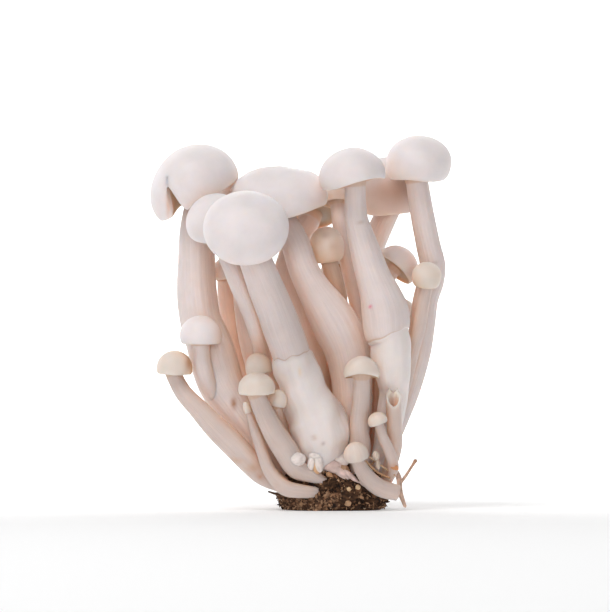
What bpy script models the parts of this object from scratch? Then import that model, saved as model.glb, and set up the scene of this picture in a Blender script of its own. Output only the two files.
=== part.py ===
"""A clump of white shimeji mushrooms on the cut block of growing medium that they grew from.

The clump stands on the flat underside of the block. The front is towards -Y, +X is to the right
and +Z is up. The origin is the middle of the block's flat underside. Every size below is in
millimetres, and the meshes are made in metres.
"""

import math
from dataclasses import dataclass

import bpy
import numpy as np

MM = 0.001

# The gap between two pieces that touch.
GAP = 0.3

# Colour of each finish, and how rough it is.
WHITE_FLESH = ((0.82, 0.77, 0.74), 0.55)
CREAM_FLESH = ((0.82, 0.74, 0.64), 0.55)
MEDIUM_BROWN = ((0.11, 0.07, 0.045), 0.95)
THREAD_TAN = ((0.62, 0.45, 0.36), 0.7)

# Growing medium: a crumbly block with a flat underside.
BLOCK_HALF_WIDTH = 13.2
BLOCK_HALF_DEPTH = 13.6
BLOCK_CENTRE = (-0.6, 0.8)
BLOCK_TOP = 11.4
BLOCK_CRUMB = 0.55
BLOCK_SIDES = 26
# Two is an ellipse seen from above, and more is nearer to a rectangle.
BLOCK_CORNER = 2.8
BLOCK_SEED = 7
# Lobes, share of the width and turn of the block's two swellings.
BLOCK_LOBES = ((3, 0.02, 0.6), (5, 0.015, 2.0))
# The flat underside's share of the block's width, and the share and height of each ring over it.
BLOCK_UNDERSIDE = 0.92
BLOCK_SIDE = ((0.97, 1.3), (1.0, 3.2), (1.0, 5.4), (0.95, 7.4), (0.84, 9.2), (0.66, 10.4))
BLOCK_CROWN = (0.36, 11.0)
SOCKET_REACH = 16.0

# Share of a cap's radius and height at which its profile turns.
LIP_RADIUS = 0.92
WIDEST_HEIGHT = 0.24
# A lip drawn in further than this gets a ring on its curve, at these shares of the way out and up.
ROUND_LIP = 0.85
LIP_BULGE = 0.71
LIP_RISE = 0.3
GILL_ARCH = 0.13
GILL_INNER = 1.25
GILL_MIDDLE = 0.67
# On a thick stem the gills start no further out than this share of the way to the lip.
GILL_INNER_MOST = 0.35
GILL_DEPTH = 0.055
# Near the stem the gills lie lower and shallower, by these shares of the arch and the depth.
GILL_INNER_ARCH = 0.7
GILL_INNER_DEPTH = 0.6
# The rings of a cap's top: degrees up from the widest ring, and points per gill edge.
DOME_RINGS = ((27, 2), (52, 2), (73, 4))
DOME_LEAST_POINTS = 6

# A cleft draws the rim in by this share, from one share of the radius to full strength at another.
CLEFT_DRAW = 0.22
CLEFT_START = 0.3
CLEFT_FULL = 0.7
# A dimple only shapes the cap above this share of its height.
DIMPLE_FROM = 0.4

# Points round a thin stem, a thick one, the broken stub and a root thread.
THIN_SIDES = 7
THICK_SIDES = 10
STUB_SIDES = 8
THREAD_SIDES = 6
# A stem given by fewer points than this gets a ring half way between each two as well.
FEW_POINTS = 9

# A stem's foot ends in a blunt point this long, and its head stops short of the rim's centre by
# this share of its radius.
FOOT_END = 0.6
HEAD_SHORT = 0.25
# A tube's far end bulges by this share of its radius.
TUBE_END = 0.6

# Torn top of the broken stub: how deep its hollow goes below the stem's last ring.
TORN_HOLLOW = 0.6
TORN_FLARE = 1.04
# Height of the torn rim over that ring, at even steps round it, from the front to the right.
TORN_RIM = (0.4, 1.3, 3.1, 2.6, 4.1, 3.3, 4.3, 2.8, 3.3, 1.5)


@dataclass(frozen=True)
class Cap:
    """A mushroom's cap: its size, how it tips, its gills and its unevenness."""

    radius: float
    height: float
    roll: float = 0.0  # degrees, crown towards +X
    lean: float = 0.0  # degrees, crown towards the front
    gills: int = 9
    waves: tuple = ()  # each: lobes round the cap, azimuth, share of the radius, lift
    cleft: tuple = ()  # azimuth, half width in degrees, depth
    dimple: tuple = ()  # azimuth, share of the radius, half width, depth
    lip: float = LIP_RADIUS  # share of the radius at the lip
    widest: float = WIDEST_HEIGHT  # share of the height at the widest ring


@dataclass(frozen=True)
class Mushroom:
    """A stem that runs through its points (x, y, z, radius), foot first, and the cap on its end."""

    name: str
    stem: tuple
    cap: Cap
    sides: int = THIN_SIDES
    cream: bool = False

    @property
    def fine(self):
        """Whether the stem has rings half way between its points too."""
        return len(self.stem) < FEW_POINTS


TALL = (
    Mushroom(
        "left_tall_mushroom",
        (
            (-9.5, 1.0, 4.5, 1.7),
            (-11.5, 0.4, 7.0, 2.4),
            (-14.8, -1.0, 9.8, 2.9),
            (-19.8, -2.0, 18.2, 4.0),
            (-25.0, -1.9, 26.0, 5.2),
            (-28.2, -1.2, 31.0, 5.8),
            (-30.2, -0.4, 37.0, 6.1),
            (-31.4, 0.4, 41.0, 5.8),
            (-33.6, 1.4, 47.2, 5.1),
            (-34.5, 2.2, 54.0, 4.9),
            (-34.6, 2.6, 61.0, 4.6),
            (-34.6, 3.2, 69.0, 4.3),
            (-33.9, 4.3, 78.2, 3.8),
        ),
        Cap(11.7, 12.9, roll=-26, lean=12, gills=20, waves=((1, -90, 0.02, -0.7), (2, -90, 0.01, -0.5)),
            cleft=(-36, 6.5, 10.0)),
        sides=THICK_SIDES,
    ),
    Mushroom(
        "front_mushroom",
        (
            (-1.2, -8.2, 5.0, 1.8),
            (-1.6, -8.3, 10.6, 2.2),
            (-2.6, -8.6, 12.2, 4.6),
            (-3.0, -8.7, 14.6, 6.0),
            (-3.4, -8.8, 18.4, 7.1),
            (-4.4, -8.9, 22.4, 7.1),
            (-6.9, -9.1, 27.4, 6.1),
            (-8.9, -9.5, 32.4, 5.7),
            (-10.8, -10.2, 38.0, 5.3),
            (-11.0, -10.3, 38.8, 4.8),
            (-13.1, -11.4, 44.8, 4.8),
            (-15.0, -12.8, 50.0, 4.6),
            (-17.2, -14.6, 55.4, 4.4),
            (-19.2, -16.8, 60.6, 4.1),
            (-21.0, -19.4, 65.0, 3.8),
            (-21.9, -22.8, 68.4, 3.6),
        ),
        Cap(10.45, 9.9, roll=-3, lean=52, gills=20, waves=((2, 90, 0.012, 0.25),),
            dimple=(150, 0.35, 0.16, 0.25)),
        sides=THICK_SIDES,
    ),
    Mushroom(
        "broad_mushroom",
        (
            (3.0, 0.0, 5.0, 1.9),
            (3.3, 0.2, 10.0, 2.8),
            (3.9, 0.3, 17.2, 4.2),
            (4.4, 0.2, 27.0, 4.9),
            (3.9, 0.0, 34.6, 5.2),
            (2.8, -0.4, 39.8, 5.5),
            (0.6, -0.6, 45.0, 5.9),
            (-2.3, -0.6, 50.0, 5.3),
            (-5.4, -0.4, 55.0, 4.3),
            (-7.9, -0.2, 60.0, 3.8),
            (-9.8, 0.2, 66.0, 3.6),
            (-13.9, 2.3, 74.2, 3.4),
        ),
        Cap(12.0, 11.6, roll=-4, lean=4, gills=20, waves=((2, 90, 0.03, 1.0), (3, 60, 0.02, 0.5)),
            dimple=(80, 0.42, 0.22, 0.9)),
        sides=THICK_SIDES,
    ),
    Mushroom(
        "knee_mushroom",
        (
            (7.8, -2.0, 5.0, 1.7),
            (10.0, -2.8, 9.8, 2.1),
            (12.5, -3.6, 16.0, 2.9),
            (13.5, -4.2, 22.2, 3.4),
            (14.6, -5.0, 29.4, 3.5),
            (14.4, -6.4, 33.4, 4.3),
            (13.9, -6.8, 38.0, 5.0),
            (13.6, -7.0, 42.4, 5.0),
            (13.1, -7.0, 43.6, 5.5),
            (12.5, -6.8, 49.0, 5.9),
            (11.4, -6.4, 53.0, 5.3),
            (9.7, -6.2, 57.4, 4.5),
            (8.1, -6.2, 62.4, 4.0),
            (6.6, -6.2, 67.4, 3.5),
            (5.3, -6.8, 72.4, 3.0),
            (4.8, -7.6, 81.0, 2.6),
        ),
        Cap(8.3, 9.2, roll=-13, lean=0, gills=18, waves=((3, 20, 0.015, 0.25),),
            dimple=(62, 0.55, 0.10, 0.35)),
        sides=THICK_SIDES,
    ),
    Mushroom(
        "right_tall_mushroom",
        (
            (11.5, 3.2, 5.0, 1.7),
            (12.4, 4.0, 11.0, 2.4),
            (13.6, 4.8, 17.2, 2.7),
            (15.5, 5.4, 22.2, 2.9),
            (17.6, 5.8, 27.6, 3.0),
            (19.4, 5.9, 33.4, 3.1),
            (20.9, 5.7, 39.8, 3.2),
            (21.9, 5.2, 46.6, 3.2),
            (22.7, 4.7, 52.4, 3.2),
            (24.1, 4.3, 57.4, 3.4),
            (24.5, 4.1, 60.4, 3.3),
            (23.4, 3.5, 66.0, 3.1),
            (22.0, 2.8, 73.0, 3.0),
            (20.6, 2.2, 82.2, 2.8),
        ),
        Cap(8.15, 11.2, roll=3, lean=3, gills=18, waves=((3, 95, 0.015, 0.3), (2, 60, 0.015, 0.2)),
            lip=0.76, widest=0.4),
        sides=THICK_SIDES,
    ),
    Mushroom(
        "side_leaning_mushroom",
        (
            (-5.5, -1.0, 5.0, 1.4),
            (-7.4, -0.4, 11.0, 1.6),
            (-11.0, 0.4, 19.8, 1.7),
            (-14.6, 0.8, 27.4, 1.8),
            (-17.3, -1.0, 35.0, 1.9),
            (-18.9, -5.0, 42.2, 2.0),
            (-19.7, -7.6, 45.0, 2.1),
            (-21.2, -9.6, 49.8, 2.3),
            (-23.3, -11.0, 54.8, 2.4),
            (-25.8, -11.2, 61.6, 2.5),
            (-29.3, -9.9, 70.0, 2.3),
        ),
        Cap(7.7, 8.5, roll=-8, lean=33, gills=16, waves=((2, 0, 0.02, 0.3),)),
    ),
    Mushroom(
        "shaded_cap_mushroom",
        (
            (5.0, 9.5, 5.0, 1.6),
            (5.4, 10.8, 14.0, 2.3),
            (6.4, 13.0, 28.0, 3.1),
            (7.0, 16.2, 44.0, 3.0),
            (7.4, 18.8, 58.0, 3.1),
            (9.0, 19.8, 64.4, 3.1),
            (11.8, 19.6, 71.0, 3.0),
            (14.0, 17.8, 76.2, 2.8),
        ),
        Cap(8.8, 12.6, roll=-3, lean=20, gills=18, waves=((3, 10, 0.015, 0.3),)),
        sides=THICK_SIDES,
    ),
)

SMALL = (
    Mushroom(
        "tan_mushroom",
        (
            (1.0, 5.0, 5.0, 1.4),
            (1.6, 7.2, 16.0, 1.9),
            (2.4, 7.8, 34.0, 2.1),
            (2.0, 7.8, 44.0, 2.1),
            (1.4, 6.6, 50.0, 2.1),
            (0.2, 5.2, 56.0, 2.2),
            (-1.5, 5.2, 62.2, 2.1),
        ),
        Cap(4.35, 8.6, roll=-8, lean=14, gills=12, waves=((3, 0, 0.02, 0.15),), lip=0.68, widest=0.44),
        cream=True,
    ),
    Mushroom(
        "lowest_left_mushroom",
        (
            (-11.0, -3.5, 4.6, 1.5),
            (-13.8, -5.4, 6.7, 2.3),
            (-18.0, -7.2, 9.2, 2.9),
            (-21.6, -8.4, 12.5, 3.0),
            (-25.6, -8.6, 16.7, 3.1),
            (-29.4, -8.2, 20.3, 2.9),
            (-34.0, -7.4, 25.2, 2.5),
            (-38.0, -6.8, 29.6, 2.2),
            (-40.0, -6.4, 33.8, 2.0),
        ),
        Cap(4.4, 5.9, roll=2, lean=2, gills=12, waves=((2, 90, 0.02, 0.1),)),
        cream=True,
    ),
    Mushroom(
        "behind_stem_mushroom",
        (
            (-8.0, -6.5, 5.0, 1.1),
            (-10.6, -7.0, 11.0, 1.3),
            (-15.4, -6.0, 19.0, 1.4),
            (-18.1, -7.0, 27.0, 1.5),
            (-18.7, -7.8, 34.0, 1.5),
        ),
        Cap(3.3, 5.2, roll=-14, lean=5, gills=9),
        cream=True,
    ),
    Mushroom(
        "flat_cream_mushroom",
        (
            (-2.6, -11.2, 7.0, 1.3),
            (-5.6, -12.4, 8.6, 1.75),
            (-9.4, -13.2, 10.4, 2.6),
            (-12.2, -13.4, 14.8, 3.1),
            (-15.3, -14.8, 19.8, 2.8),
            (-17.8, -16.8, 24.8, 2.4),
            (-19.4, -18.2, 29.0, 2.1),
        ),
        Cap(4.5, 5.4, roll=-1, lean=3, gills=12, waves=((2, 70, 0.02, 0.1),)),
        cream=True,
    ),
    Mushroom(
        "dark_stem_mushroom",
        (
            (-5.5, -4.5, 5.0, 1.1),
            (-8.6, -3.6, 12.0, 1.2),
            (-12.0, -5.5, 18.4, 1.2),
            (-13.6, -9.2, 22.4, 1.2),
            (-14.6, -13.6, 26.2, 1.2),
        ),
        Cap(2.4, 4.0, roll=14, lean=10, gills=8),
        cream=True,
    ),
    Mushroom(
        "pin_mushroom",
        (
            (-3.4, -11.4, 4.6, 1.3),
            (-8.0, -13.6, 4.9, 1.7),
            (-12.4, -13.6, 5.8, 2.0),
            (-15.9, -12.8, 9.4, 1.7),
            (-18.1, -12.4, 14.6, 1.45),
            (-19.8, -12.2, 19.8, 1.25),
            (-21.4, -12.0, 24.2, 0.75),
        ),
        Cap(1.05, 3.0, roll=-20, lean=0, gills=6),
        cream=True,
    ),
    Mushroom(
        "front_small_mushroom",
        (
            (5.5, -8.0, 5.0, 1.5),
            (5.9, -8.4, 11.0, 2.4),
            (6.1, -8.8, 16.0, 2.7),
            (5.9, -10.2, 21.0, 2.3),
            (6.4, -12.2, 27.2, 2.2),
            (6.5, -14.0, 33.2, 2.0),
        ),
        Cap(4.5, 5.2, roll=0, lean=-6, gills=12, waves=((2, 0, 0.01, 0.35),)),
        cream=True,
    ),
    Mushroom(
        "low_tilted_mushroom",
        (
            (11.6, -6.6, 5.0, 1.0),
            (13.4, -8.3, 8.0, 1.1),
            (14.4, -11.2, 10.8, 1.3),
            (13.4, -13.0, 14.6, 1.4),
            (11.9, -13.4, 18.0, 1.3),
            (10.7, -13.8, 21.6, 1.1),
        ),
        Cap(2.45, 3.0, roll=-20, lean=8, gills=8),
        cream=True,
    ),
    Mushroom(
        "fallen_cream_mushroom",
        (
            (15.4, -9.8, 4.4, 2.0),
            (11.3, -11.2, 5.6, 2.2),
            (8.2, -13.4, 8.0, 2.1),
            (6.2, -15.0, 11.0, 1.8),
            (5.4, -15.6, 12.9, 1.6),
        ),
        Cap(3.1, 4.4, roll=-14, lean=14, gills=9),
        cream=True,
    ),
    Mushroom(
        "right_small_mushroom",
        (
            (7.5, 2.5, 5.0, 1.1),
            (10.6, 0.7, 14.0, 1.2),
            (14.3, 1.1, 22.0, 1.45),
            (17.3, 0.1, 31.0, 1.7),
            (19.3, -0.9, 39.8, 1.8),
            (20.7, -2.2, 45.0, 1.8),
            (21.6, -3.1, 50.0, 1.7),
            (22.6, -3.5, 55.6, 1.6),
        ),
        Cap(3.7, 6.2, roll=4, lean=14, gills=9, lip=0.66, widest=0.46),
        cream=True,
    ),
    Mushroom(
        "behind_right_mushroom",
        (
            (9.0, 7.0, 5.0, 1.3),
            (10.2, 9.4, 18.0, 1.7),
            (11.6, 9.8, 33.0, 2.1),
            (10.8, 9.6, 48.0, 1.9),
            (11.6, 9.2, 55.6, 1.9),
            (14.8, 8.8, 59.8, 1.8),
        ),
        Cap(5.5, 6.3, roll=42, lean=-14, gills=13),
    ),
    Mushroom(
        "behind_centre_mushroom",
        (
            (5.5, 5.5, 5.0, 1.1),
            (6.6, 7.2, 18.0, 1.4),
            (7.2, 7.4, 34.0, 1.5),
            (7.1, 8.2, 43.4, 1.5),
            (5.6, 8.8, 50.0, 1.6),
            (3.8, 9.3, 59.0, 1.9),
            (1.8, 10.4, 67.4, 1.9),
            (0.6, 12.0, 76.6, 1.8),
        ),
        Cap(4.2, 4.6, roll=-4, lean=-14, gills=10),
    ),
    Mushroom(
        "behind_left_mushroom",
        (
            (-7.5, 5.5, 5.0, 1.1),
            (-12.6, 6.6, 15.0, 1.3),
            (-20.6, 8.2, 29.0, 1.5),
            (-25.0, 9.4, 41.0, 1.8),
            (-27.0, 9.2, 51.0, 2.3),
            (-27.6, 8.4, 57.6, 2.0),
        ),
        Cap(3.1, 5.2, roll=-6, lean=4, gills=8),
    ),
    Mushroom(
        "shaded_left_mushroom",
        (
            (-3.5, 4.0, 5.0, 1.3),
            (-9.4, 4.6, 15.0, 1.7),
            (-16.6, 4.4, 27.0, 2.2),
            (-20.8, 4.0, 39.0, 2.5),
            (-22.6, 4.0, 50.0, 2.6),
            (-23.6, 4.4, 63.0, 2.3),
        ),
        Cap(4.1, 4.6, roll=-4, lean=-6, gills=10),
    ),
    Mushroom(
        "back_centre_mushroom",
        (
            (-2.0, 8.5, 5.0, 1.8),
            (-3.2, 9.8, 18.0, 2.8),
            (-5.4, 10.6, 36.0, 3.4),
            (-8.8, 10.8, 47.0, 3.4),
            (-12.0, 13.0, 58.0, 3.4),
            (-10.0, 16.4, 66.0, 3.1),
            (-6.4, 20.0, 73.0, 2.7),
        ),
        Cap(7.3, 7.4, roll=-4, lean=-28, gills=16, waves=((3, 40, 0.02, 0.3),)),
        sides=THICK_SIDES,
    ),
    Mushroom(
        "back_left_mushroom",
        (
            (-6.0, 10.0, 5.0, 1.6),
            (-11.6, 11.8, 18.0, 2.4),
            (-19.6, 13.4, 36.0, 3.0),
            (-23.4, 15.4, 52.0, 3.0),
            (-25.4, 19.0, 66.0, 2.8),
            (-25.8, 20.8, 76.6, 2.5),
        ),
        Cap(5.6, 6.6, roll=-4, lean=-10, gills=14, waves=((2, 30, 0.02, 0.3),)),
    ),
    Mushroom(
        "back_right_mushroom",
        (
            (0.5, 12.2, 5.0, 1.4),
            (-0.2, 14.4, 20.0, 2.4),
            (-0.8, 16.6, 38.0, 2.8),
            (0.2, 20.0, 50.0, 2.6),
            (1.8, 25.0, 58.6, 2.2),
        ),
        Cap(5.4, 5.6, roll=6, lean=-34, gills=12),
    ),
    Mushroom(
        "back_short_mushroom",
        (
            (8.5, 11.0, 5.0, 1.3),
            (11.2, 14.0, 18.0, 1.8),
            (13.6, 15.4, 34.0, 2.2),
            (15.8, 16.6, 48.0, 1.9),
        ),
        Cap(4.6, 5.0, roll=10, lean=-18, gills=12),
        cream=True,
    ),
    Mushroom(
        "low_back_left_mushroom",
        (
            (-9.6, 12.0, 5.0, 1.1),
            (-12.6, 15.6, 15.0, 1.6),
            (-15.8, 19.2, 29.0, 1.8),
            (-17.4, 21.4, 40.0, 1.7),
        ),
        Cap(4.1, 5.4, roll=-8, lean=-12, gills=11),
        cream=True,
    ),
    Mushroom(
        "low_back_right_mushroom",
        (
            (4.6, 13.4, 5.0, 1.1),
            (5.2, 17.4, 15.0, 1.6),
            (7.4, 21.4, 27.0, 1.8),
            (8.8, 24.0, 37.0, 1.7),
        ),
        Cap(4.0, 5.2, roll=8, lean=-16, gills=11),
        cream=True,
    ),
)

# Side shoots: the mushroom whose stem each one grows from, and the shoot.
SHOOTS = (
    (
        "left_tall_mushroom",
        Mushroom(
            "front_left_shoot",
            (
                (-27.0, -1.4, 24.0, 1.0),
                (-30.8, -5.2, 30.0, 1.9),
                (-32.8, -7.2, 35.6, 2.2),
                (-33.4, -7.8, 41.5, 2.2),
            ),
            Cap(5.3, 6.9, roll=0, lean=5, gills=12, waves=((2, 0, 0.01, 0.1),), lip=0.84, widest=0.3),
        ),
    ),
    (
        "back_left_mushroom",
        Mushroom(
            "left_back_shoot",
            (
                (-10.8, 11.6, 16.0, 1.0),
                (-15.6, 12.8, 19.6, 1.5),
                (-21.6, 14.6, 26.0, 1.7),
                (-26.6, 16.0, 33.0, 1.6),
            ),
            Cap(4.0, 5.2, roll=-14, lean=-8, gills=11),
        ),
    ),
    (
        "back_short_mushroom",
        Mushroom(
            "right_back_shoot",
            (
                (10.9, 13.6, 15.4, 0.9),
                (14.2, 12.8, 18.4, 1.4),
                (18.0, 12.4, 26.6, 1.6),
                (20.2, 12.6, 37.6, 1.5),
            ),
            Cap(3.6, 4.8, roll=8, lean=-6, gills=9),
        ),
    ),
    (
        "back_right_mushroom",
        Mushroom(
            "lowest_back_shoot",
            (
                (-0.2, 13.9, 14.4, 0.9),
                (-3.2, 17.4, 17.0, 1.4),
                (-5.6, 20.4, 22.6, 1.5),
                (-6.6, 22.0, 30.0, 1.4),
            ),
            Cap(3.3, 4.5, roll=-4, lean=-14, gills=9),
        ),
    ),
)

# The broken stub, which has lost its cap.
STUB_STEM = (
    (11.6, -3.6, 5.0, 1.2),
    (13.5, -6.3, 10.6, 1.6),
    (14.8, -8.7, 17.0, 1.9),
    (14.6, -10.0, 22.0, 1.9),
    (14.5, -10.9, 25.8, 1.9),
)

# The root thread, and the short branch on it.
THREAD = (
    (12.2, -1.4, 7.4, 0.8),
    (14.8, -2.8, 9.6, 0.85),
    (15.8, -4.8, 8.2, 0.95),
    (16.2, -5.8, 4.4, 0.9),
    (17.4, -6.6, 0.9, 0.6),
)
THREAD_BRANCH = (
    (16.0, -5.4, 6.4, 0.5),
    (17.6, -6.0, 8.6, 0.55),
    (19.0, -6.6, 10.8, 0.5),
    (20.0, -7.0, 12.4, 0.7),
)


class Shell:
    """Vertices and faces of one closed surface, built ring by ring."""

    def __init__(self):
        self.points = []
        self.faces = []

    def ring(self, points):
        """Adds a ring of points and returns their numbers."""
        start = len(self.points)
        self.points.extend(tuple(p) for p in points)
        return list(range(start, len(self.points)))

    def pole(self, point):
        """Adds one point and returns its number."""
        self.points.append(tuple(point))
        return len(self.points) - 1

    def close_below(self, pole, ring):
        """Joins a ring to the pole under it."""
        for i, a in enumerate(ring):
            self.faces.append((pole, ring[(i + 1) % len(ring)], a))

    def close_above(self, ring, pole):
        """Joins a ring to the pole over it."""
        for i, a in enumerate(ring):
            self.faces.append((a, ring[(i + 1) % len(ring)], pole))

    def stitch(self, low, high):
        """Joins two rings, also of different counts, that both start at the same angle."""
        i = j = 0
        while i < len(low) or j < len(high):
            a, b = low[i % len(low)], high[j % len(high)]
            if j == len(high) or (i < len(low) and (i + 1) * len(high) <= (j + 1) * len(low)):
                i += 1
                self.faces.append((a, low[i % len(low)], b))
            else:
                j += 1
                self.faces.append((a, high[j % len(high)], b))

    def mesh(self, name):
        """The surface as a Blender mesh in metres, shaded smooth."""
        mesh = bpy.data.meshes.new(name)
        mesh.from_pydata([tuple(c * MM for c in p) for p in self.points], [], self.faces)
        mesh.shade_smooth()
        mesh.validate()
        return mesh


def unit(vector):
    """The vector at length one."""
    return vector / np.linalg.norm(vector)


def smooth_path(points):
    """The points of a stem with one more half way along the curve between each two."""
    p = np.array(points, float)
    ends = np.vstack([2 * p[0] - p[1], p, 2 * p[-1] - p[-2]])
    out = [p[0]]
    for i in range(1, len(p)):
        before, start, stop, after = ends[i - 1 : i + 3]
        out.append((9 * (start + stop) - before - after) / 16)
        out.append(stop)
    return np.array(out)


def stations(points, fine):
    """Centre, radius and direction of each ring along a stem."""
    path = smooth_path(points) if fine else np.array(points, float)
    centres, radii = path[:, :3], path[:, 3]
    tangents = np.gradient(centres, axis=0)
    return centres, radii, np.array([unit(t) for t in tangents])


def across(direction):
    """Two directions square to this one: towards the front, and to its right."""
    front = np.array([0.0, -1.0, 0.0])
    front = unit(front - direction * front.dot(direction))
    return front, np.cross(direction, front)


def circle(centre, direction, radius, count):
    """Points round a circle that stands square to the direction, from the front to the right."""
    front, right = across(direction)
    turn = 2 * math.pi * np.arange(count) / count
    return centre + radius * (np.outer(np.cos(turn), front) + np.outer(np.sin(turn), right))


def cap_axis(cap):
    """The direction from the rim's centre to the crown."""
    roll, lean = math.radians(cap.roll), math.radians(cap.lean)
    return np.array([math.sin(roll) * math.cos(lean), -math.sin(lean), math.cos(roll) * math.cos(lean)])


def bell(angle, middle, half_width):
    """A smooth bump of height one round an angle, all in radians."""
    apart = (angle - middle + math.pi) % (2 * math.pi) - math.pi
    return np.exp(-((apart / half_width) ** 2))


def cap_ring(cap, centre, share, height, count, relief=0.0):
    """Points of one ring of a cap, at a share of its radius and a height over its rim.

    relief is the depth of the gills: every second point is a gill's edge.
    """
    axis = cap_axis(cap)
    front, right = across(axis)
    turn = 2 * math.pi * np.arange(count) / count
    radial = np.full(count, share * cap.radius)
    rise = np.full(count, float(height))
    for lobes, azimuth, spread, lift in cap.waves:
        wave = np.cos(lobes * (turn - math.radians(azimuth)))
        radial = radial * (1 + spread * wave * min(share, 1))
        rise = rise + lift * wave * min(share, 1)
    if cap.cleft:
        azimuth, half_width, depth = cap.cleft
        cut = bell(turn, math.radians(azimuth), math.radians(half_width))
        outer = min(1.0, max(0.0, share - CLEFT_START) / (CLEFT_FULL - CLEFT_START))
        low = max(0.0, 1 - height / depth) * outer
        rise = rise + cut * low * (depth - height)
        radial = radial * (1 - CLEFT_DRAW * cut * low)
    if cap.dimple and height > DIMPLE_FROM * cap.height:
        azimuth, place, half_width, depth = cap.dimple
        away = np.hypot(
            share * np.cos(turn) - place * math.cos(math.radians(azimuth)),
            share * np.sin(turn) - place * math.sin(math.radians(azimuth)),
        )
        rise = rise - depth * np.exp(-((away / half_width) ** 2))
    rise = rise + relief * np.where(np.arange(count) % 2, 1.0, -1.0)
    flat = np.outer(radial * np.cos(turn), front) + np.outer(radial * np.sin(turn), right)
    return centre + flat + np.outer(rise, axis)


def dome(cap, turn):
    """Share of the radius and height of the cap's top at an angle up from its widest ring."""
    low = cap.widest * cap.height
    return math.cos(turn), low + (cap.height - low) * math.sin(turn)


def add_cap(shell, cap, centre, stem_radius, below):
    """Grows a cap on the stem ring below: gills, rolled lip, widest ring and dome."""
    count = 2 * cap.gills
    arch = GILL_ARCH * cap.radius
    depth = GILL_DEPTH * cap.radius
    stem = stem_radius / cap.radius
    inner = min(GILL_INNER * stem, stem + GILL_INNER_MOST * (cap.lip - stem))
    middle = max(GILL_MIDDLE * cap.lip, (inner + cap.lip) / 2)
    rings = [
        cap_ring(cap, centre, inner, arch * GILL_INNER_ARCH, count, depth * GILL_INNER_DEPTH),
        cap_ring(cap, centre, middle, arch, count, depth),
        cap_ring(cap, centre, cap.lip, 0.0, count),
    ]
    if cap.lip < ROUND_LIP:
        between = (cap.lip + LIP_BULGE * (1 - cap.lip), LIP_RISE * cap.widest * cap.height)
        rings.append(cap_ring(cap, centre, *between, count))
    rings.append(cap_ring(cap, centre, 1.0, cap.widest * cap.height, count))
    for degrees, part in DOME_RINGS:
        share, height = dome(cap, math.radians(degrees))
        rings.append(cap_ring(cap, centre, share, height, max(DOME_LEAST_POINTS, count // part)))
    for points in rings:
        ring = shell.ring(points)
        shell.stitch(below, ring)
        below = ring
    crown = centre + cap_axis(cap) * cap.height
    shell.close_above(below, shell.pole(crown))


def add_stem(shell, points, sides, fine, swell=0.0):
    """Grows a stem from a blunt foot and returns its last ring, its centre and its radius."""
    centres, radii, tangents = stations(points, fine)
    foot = shell.pole(centres[0] - tangents[0] * (FOOT_END + swell))
    below = None
    for centre, radius, tangent in zip(centres, radii, tangents):
        ring = shell.ring(circle(centre, tangent, radius + swell, sides))
        if below is None:
            shell.close_below(foot, ring)
        else:
            shell.stitch(below, ring)
        below = ring
    return below, centres[-1], radii[-1]


def mushroom_mesh(mushroom):
    """One mushroom, stem and gilled cap, as one closed surface."""
    shell = Shell()
    points = mushroom.stem[:-1] + (shortened(mushroom.stem[-2], mushroom.stem[-1], mushroom.cap),)
    below, _, radius = add_stem(shell, points, mushroom.sides, mushroom.fine)
    add_cap(shell, mushroom.cap, np.array(mushroom.stem[-1][:3]), radius, below)
    return shell.mesh(mushroom.name)


def shortened(before, last, cap):
    """The last stem point, drawn back along the cap's axis so that it stays under the gills."""
    centre = np.array(last[:3]) - cap_axis(cap) * HEAD_SHORT * last[3]
    return (*centre, last[3])


def stub_mesh(points, sides):
    """The broken stub: a stem with a torn, hollow top in place of its cap."""
    shell = Shell()
    below, centre, radius = add_stem(shell, points, sides, fine=True)
    up = unit(np.array(points[-1][:3]) - np.array(points[-2][:3]))
    rim = circle(centre, up, radius * TORN_FLARE, len(TORN_RIM)) + np.outer(TORN_RIM, up)
    ring = shell.ring(rim)
    shell.stitch(below, ring)
    shell.close_above(ring, shell.pole(centre - up * TORN_HOLLOW))
    return shell.mesh("broken_stub")


def tube_mesh(name, points, sides, fine=True, swell=0.0):
    """A closed tube along the points, with blunt ends."""
    shell = Shell()
    below, centre, radius = add_stem(shell, points, sides, fine, swell)
    last = unit(np.array(points[-1][:3]) - np.array(points[-2][:3]))
    shell.close_above(below, shell.pole(centre + last * (TUBE_END * radius + swell)))
    return shell.mesh(name)


def socket_mesh(name, points, sides, fine):
    """A stem's lowest stretch, wider by the gap: the shape of its hole in the block."""
    low = [p for p in points if p[2] < SOCKET_REACH]
    if len(low) < len(points):
        low.append(points[len(low)])
    return tube_mesh(name, tuple(low), sides, fine, GAP)


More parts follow.
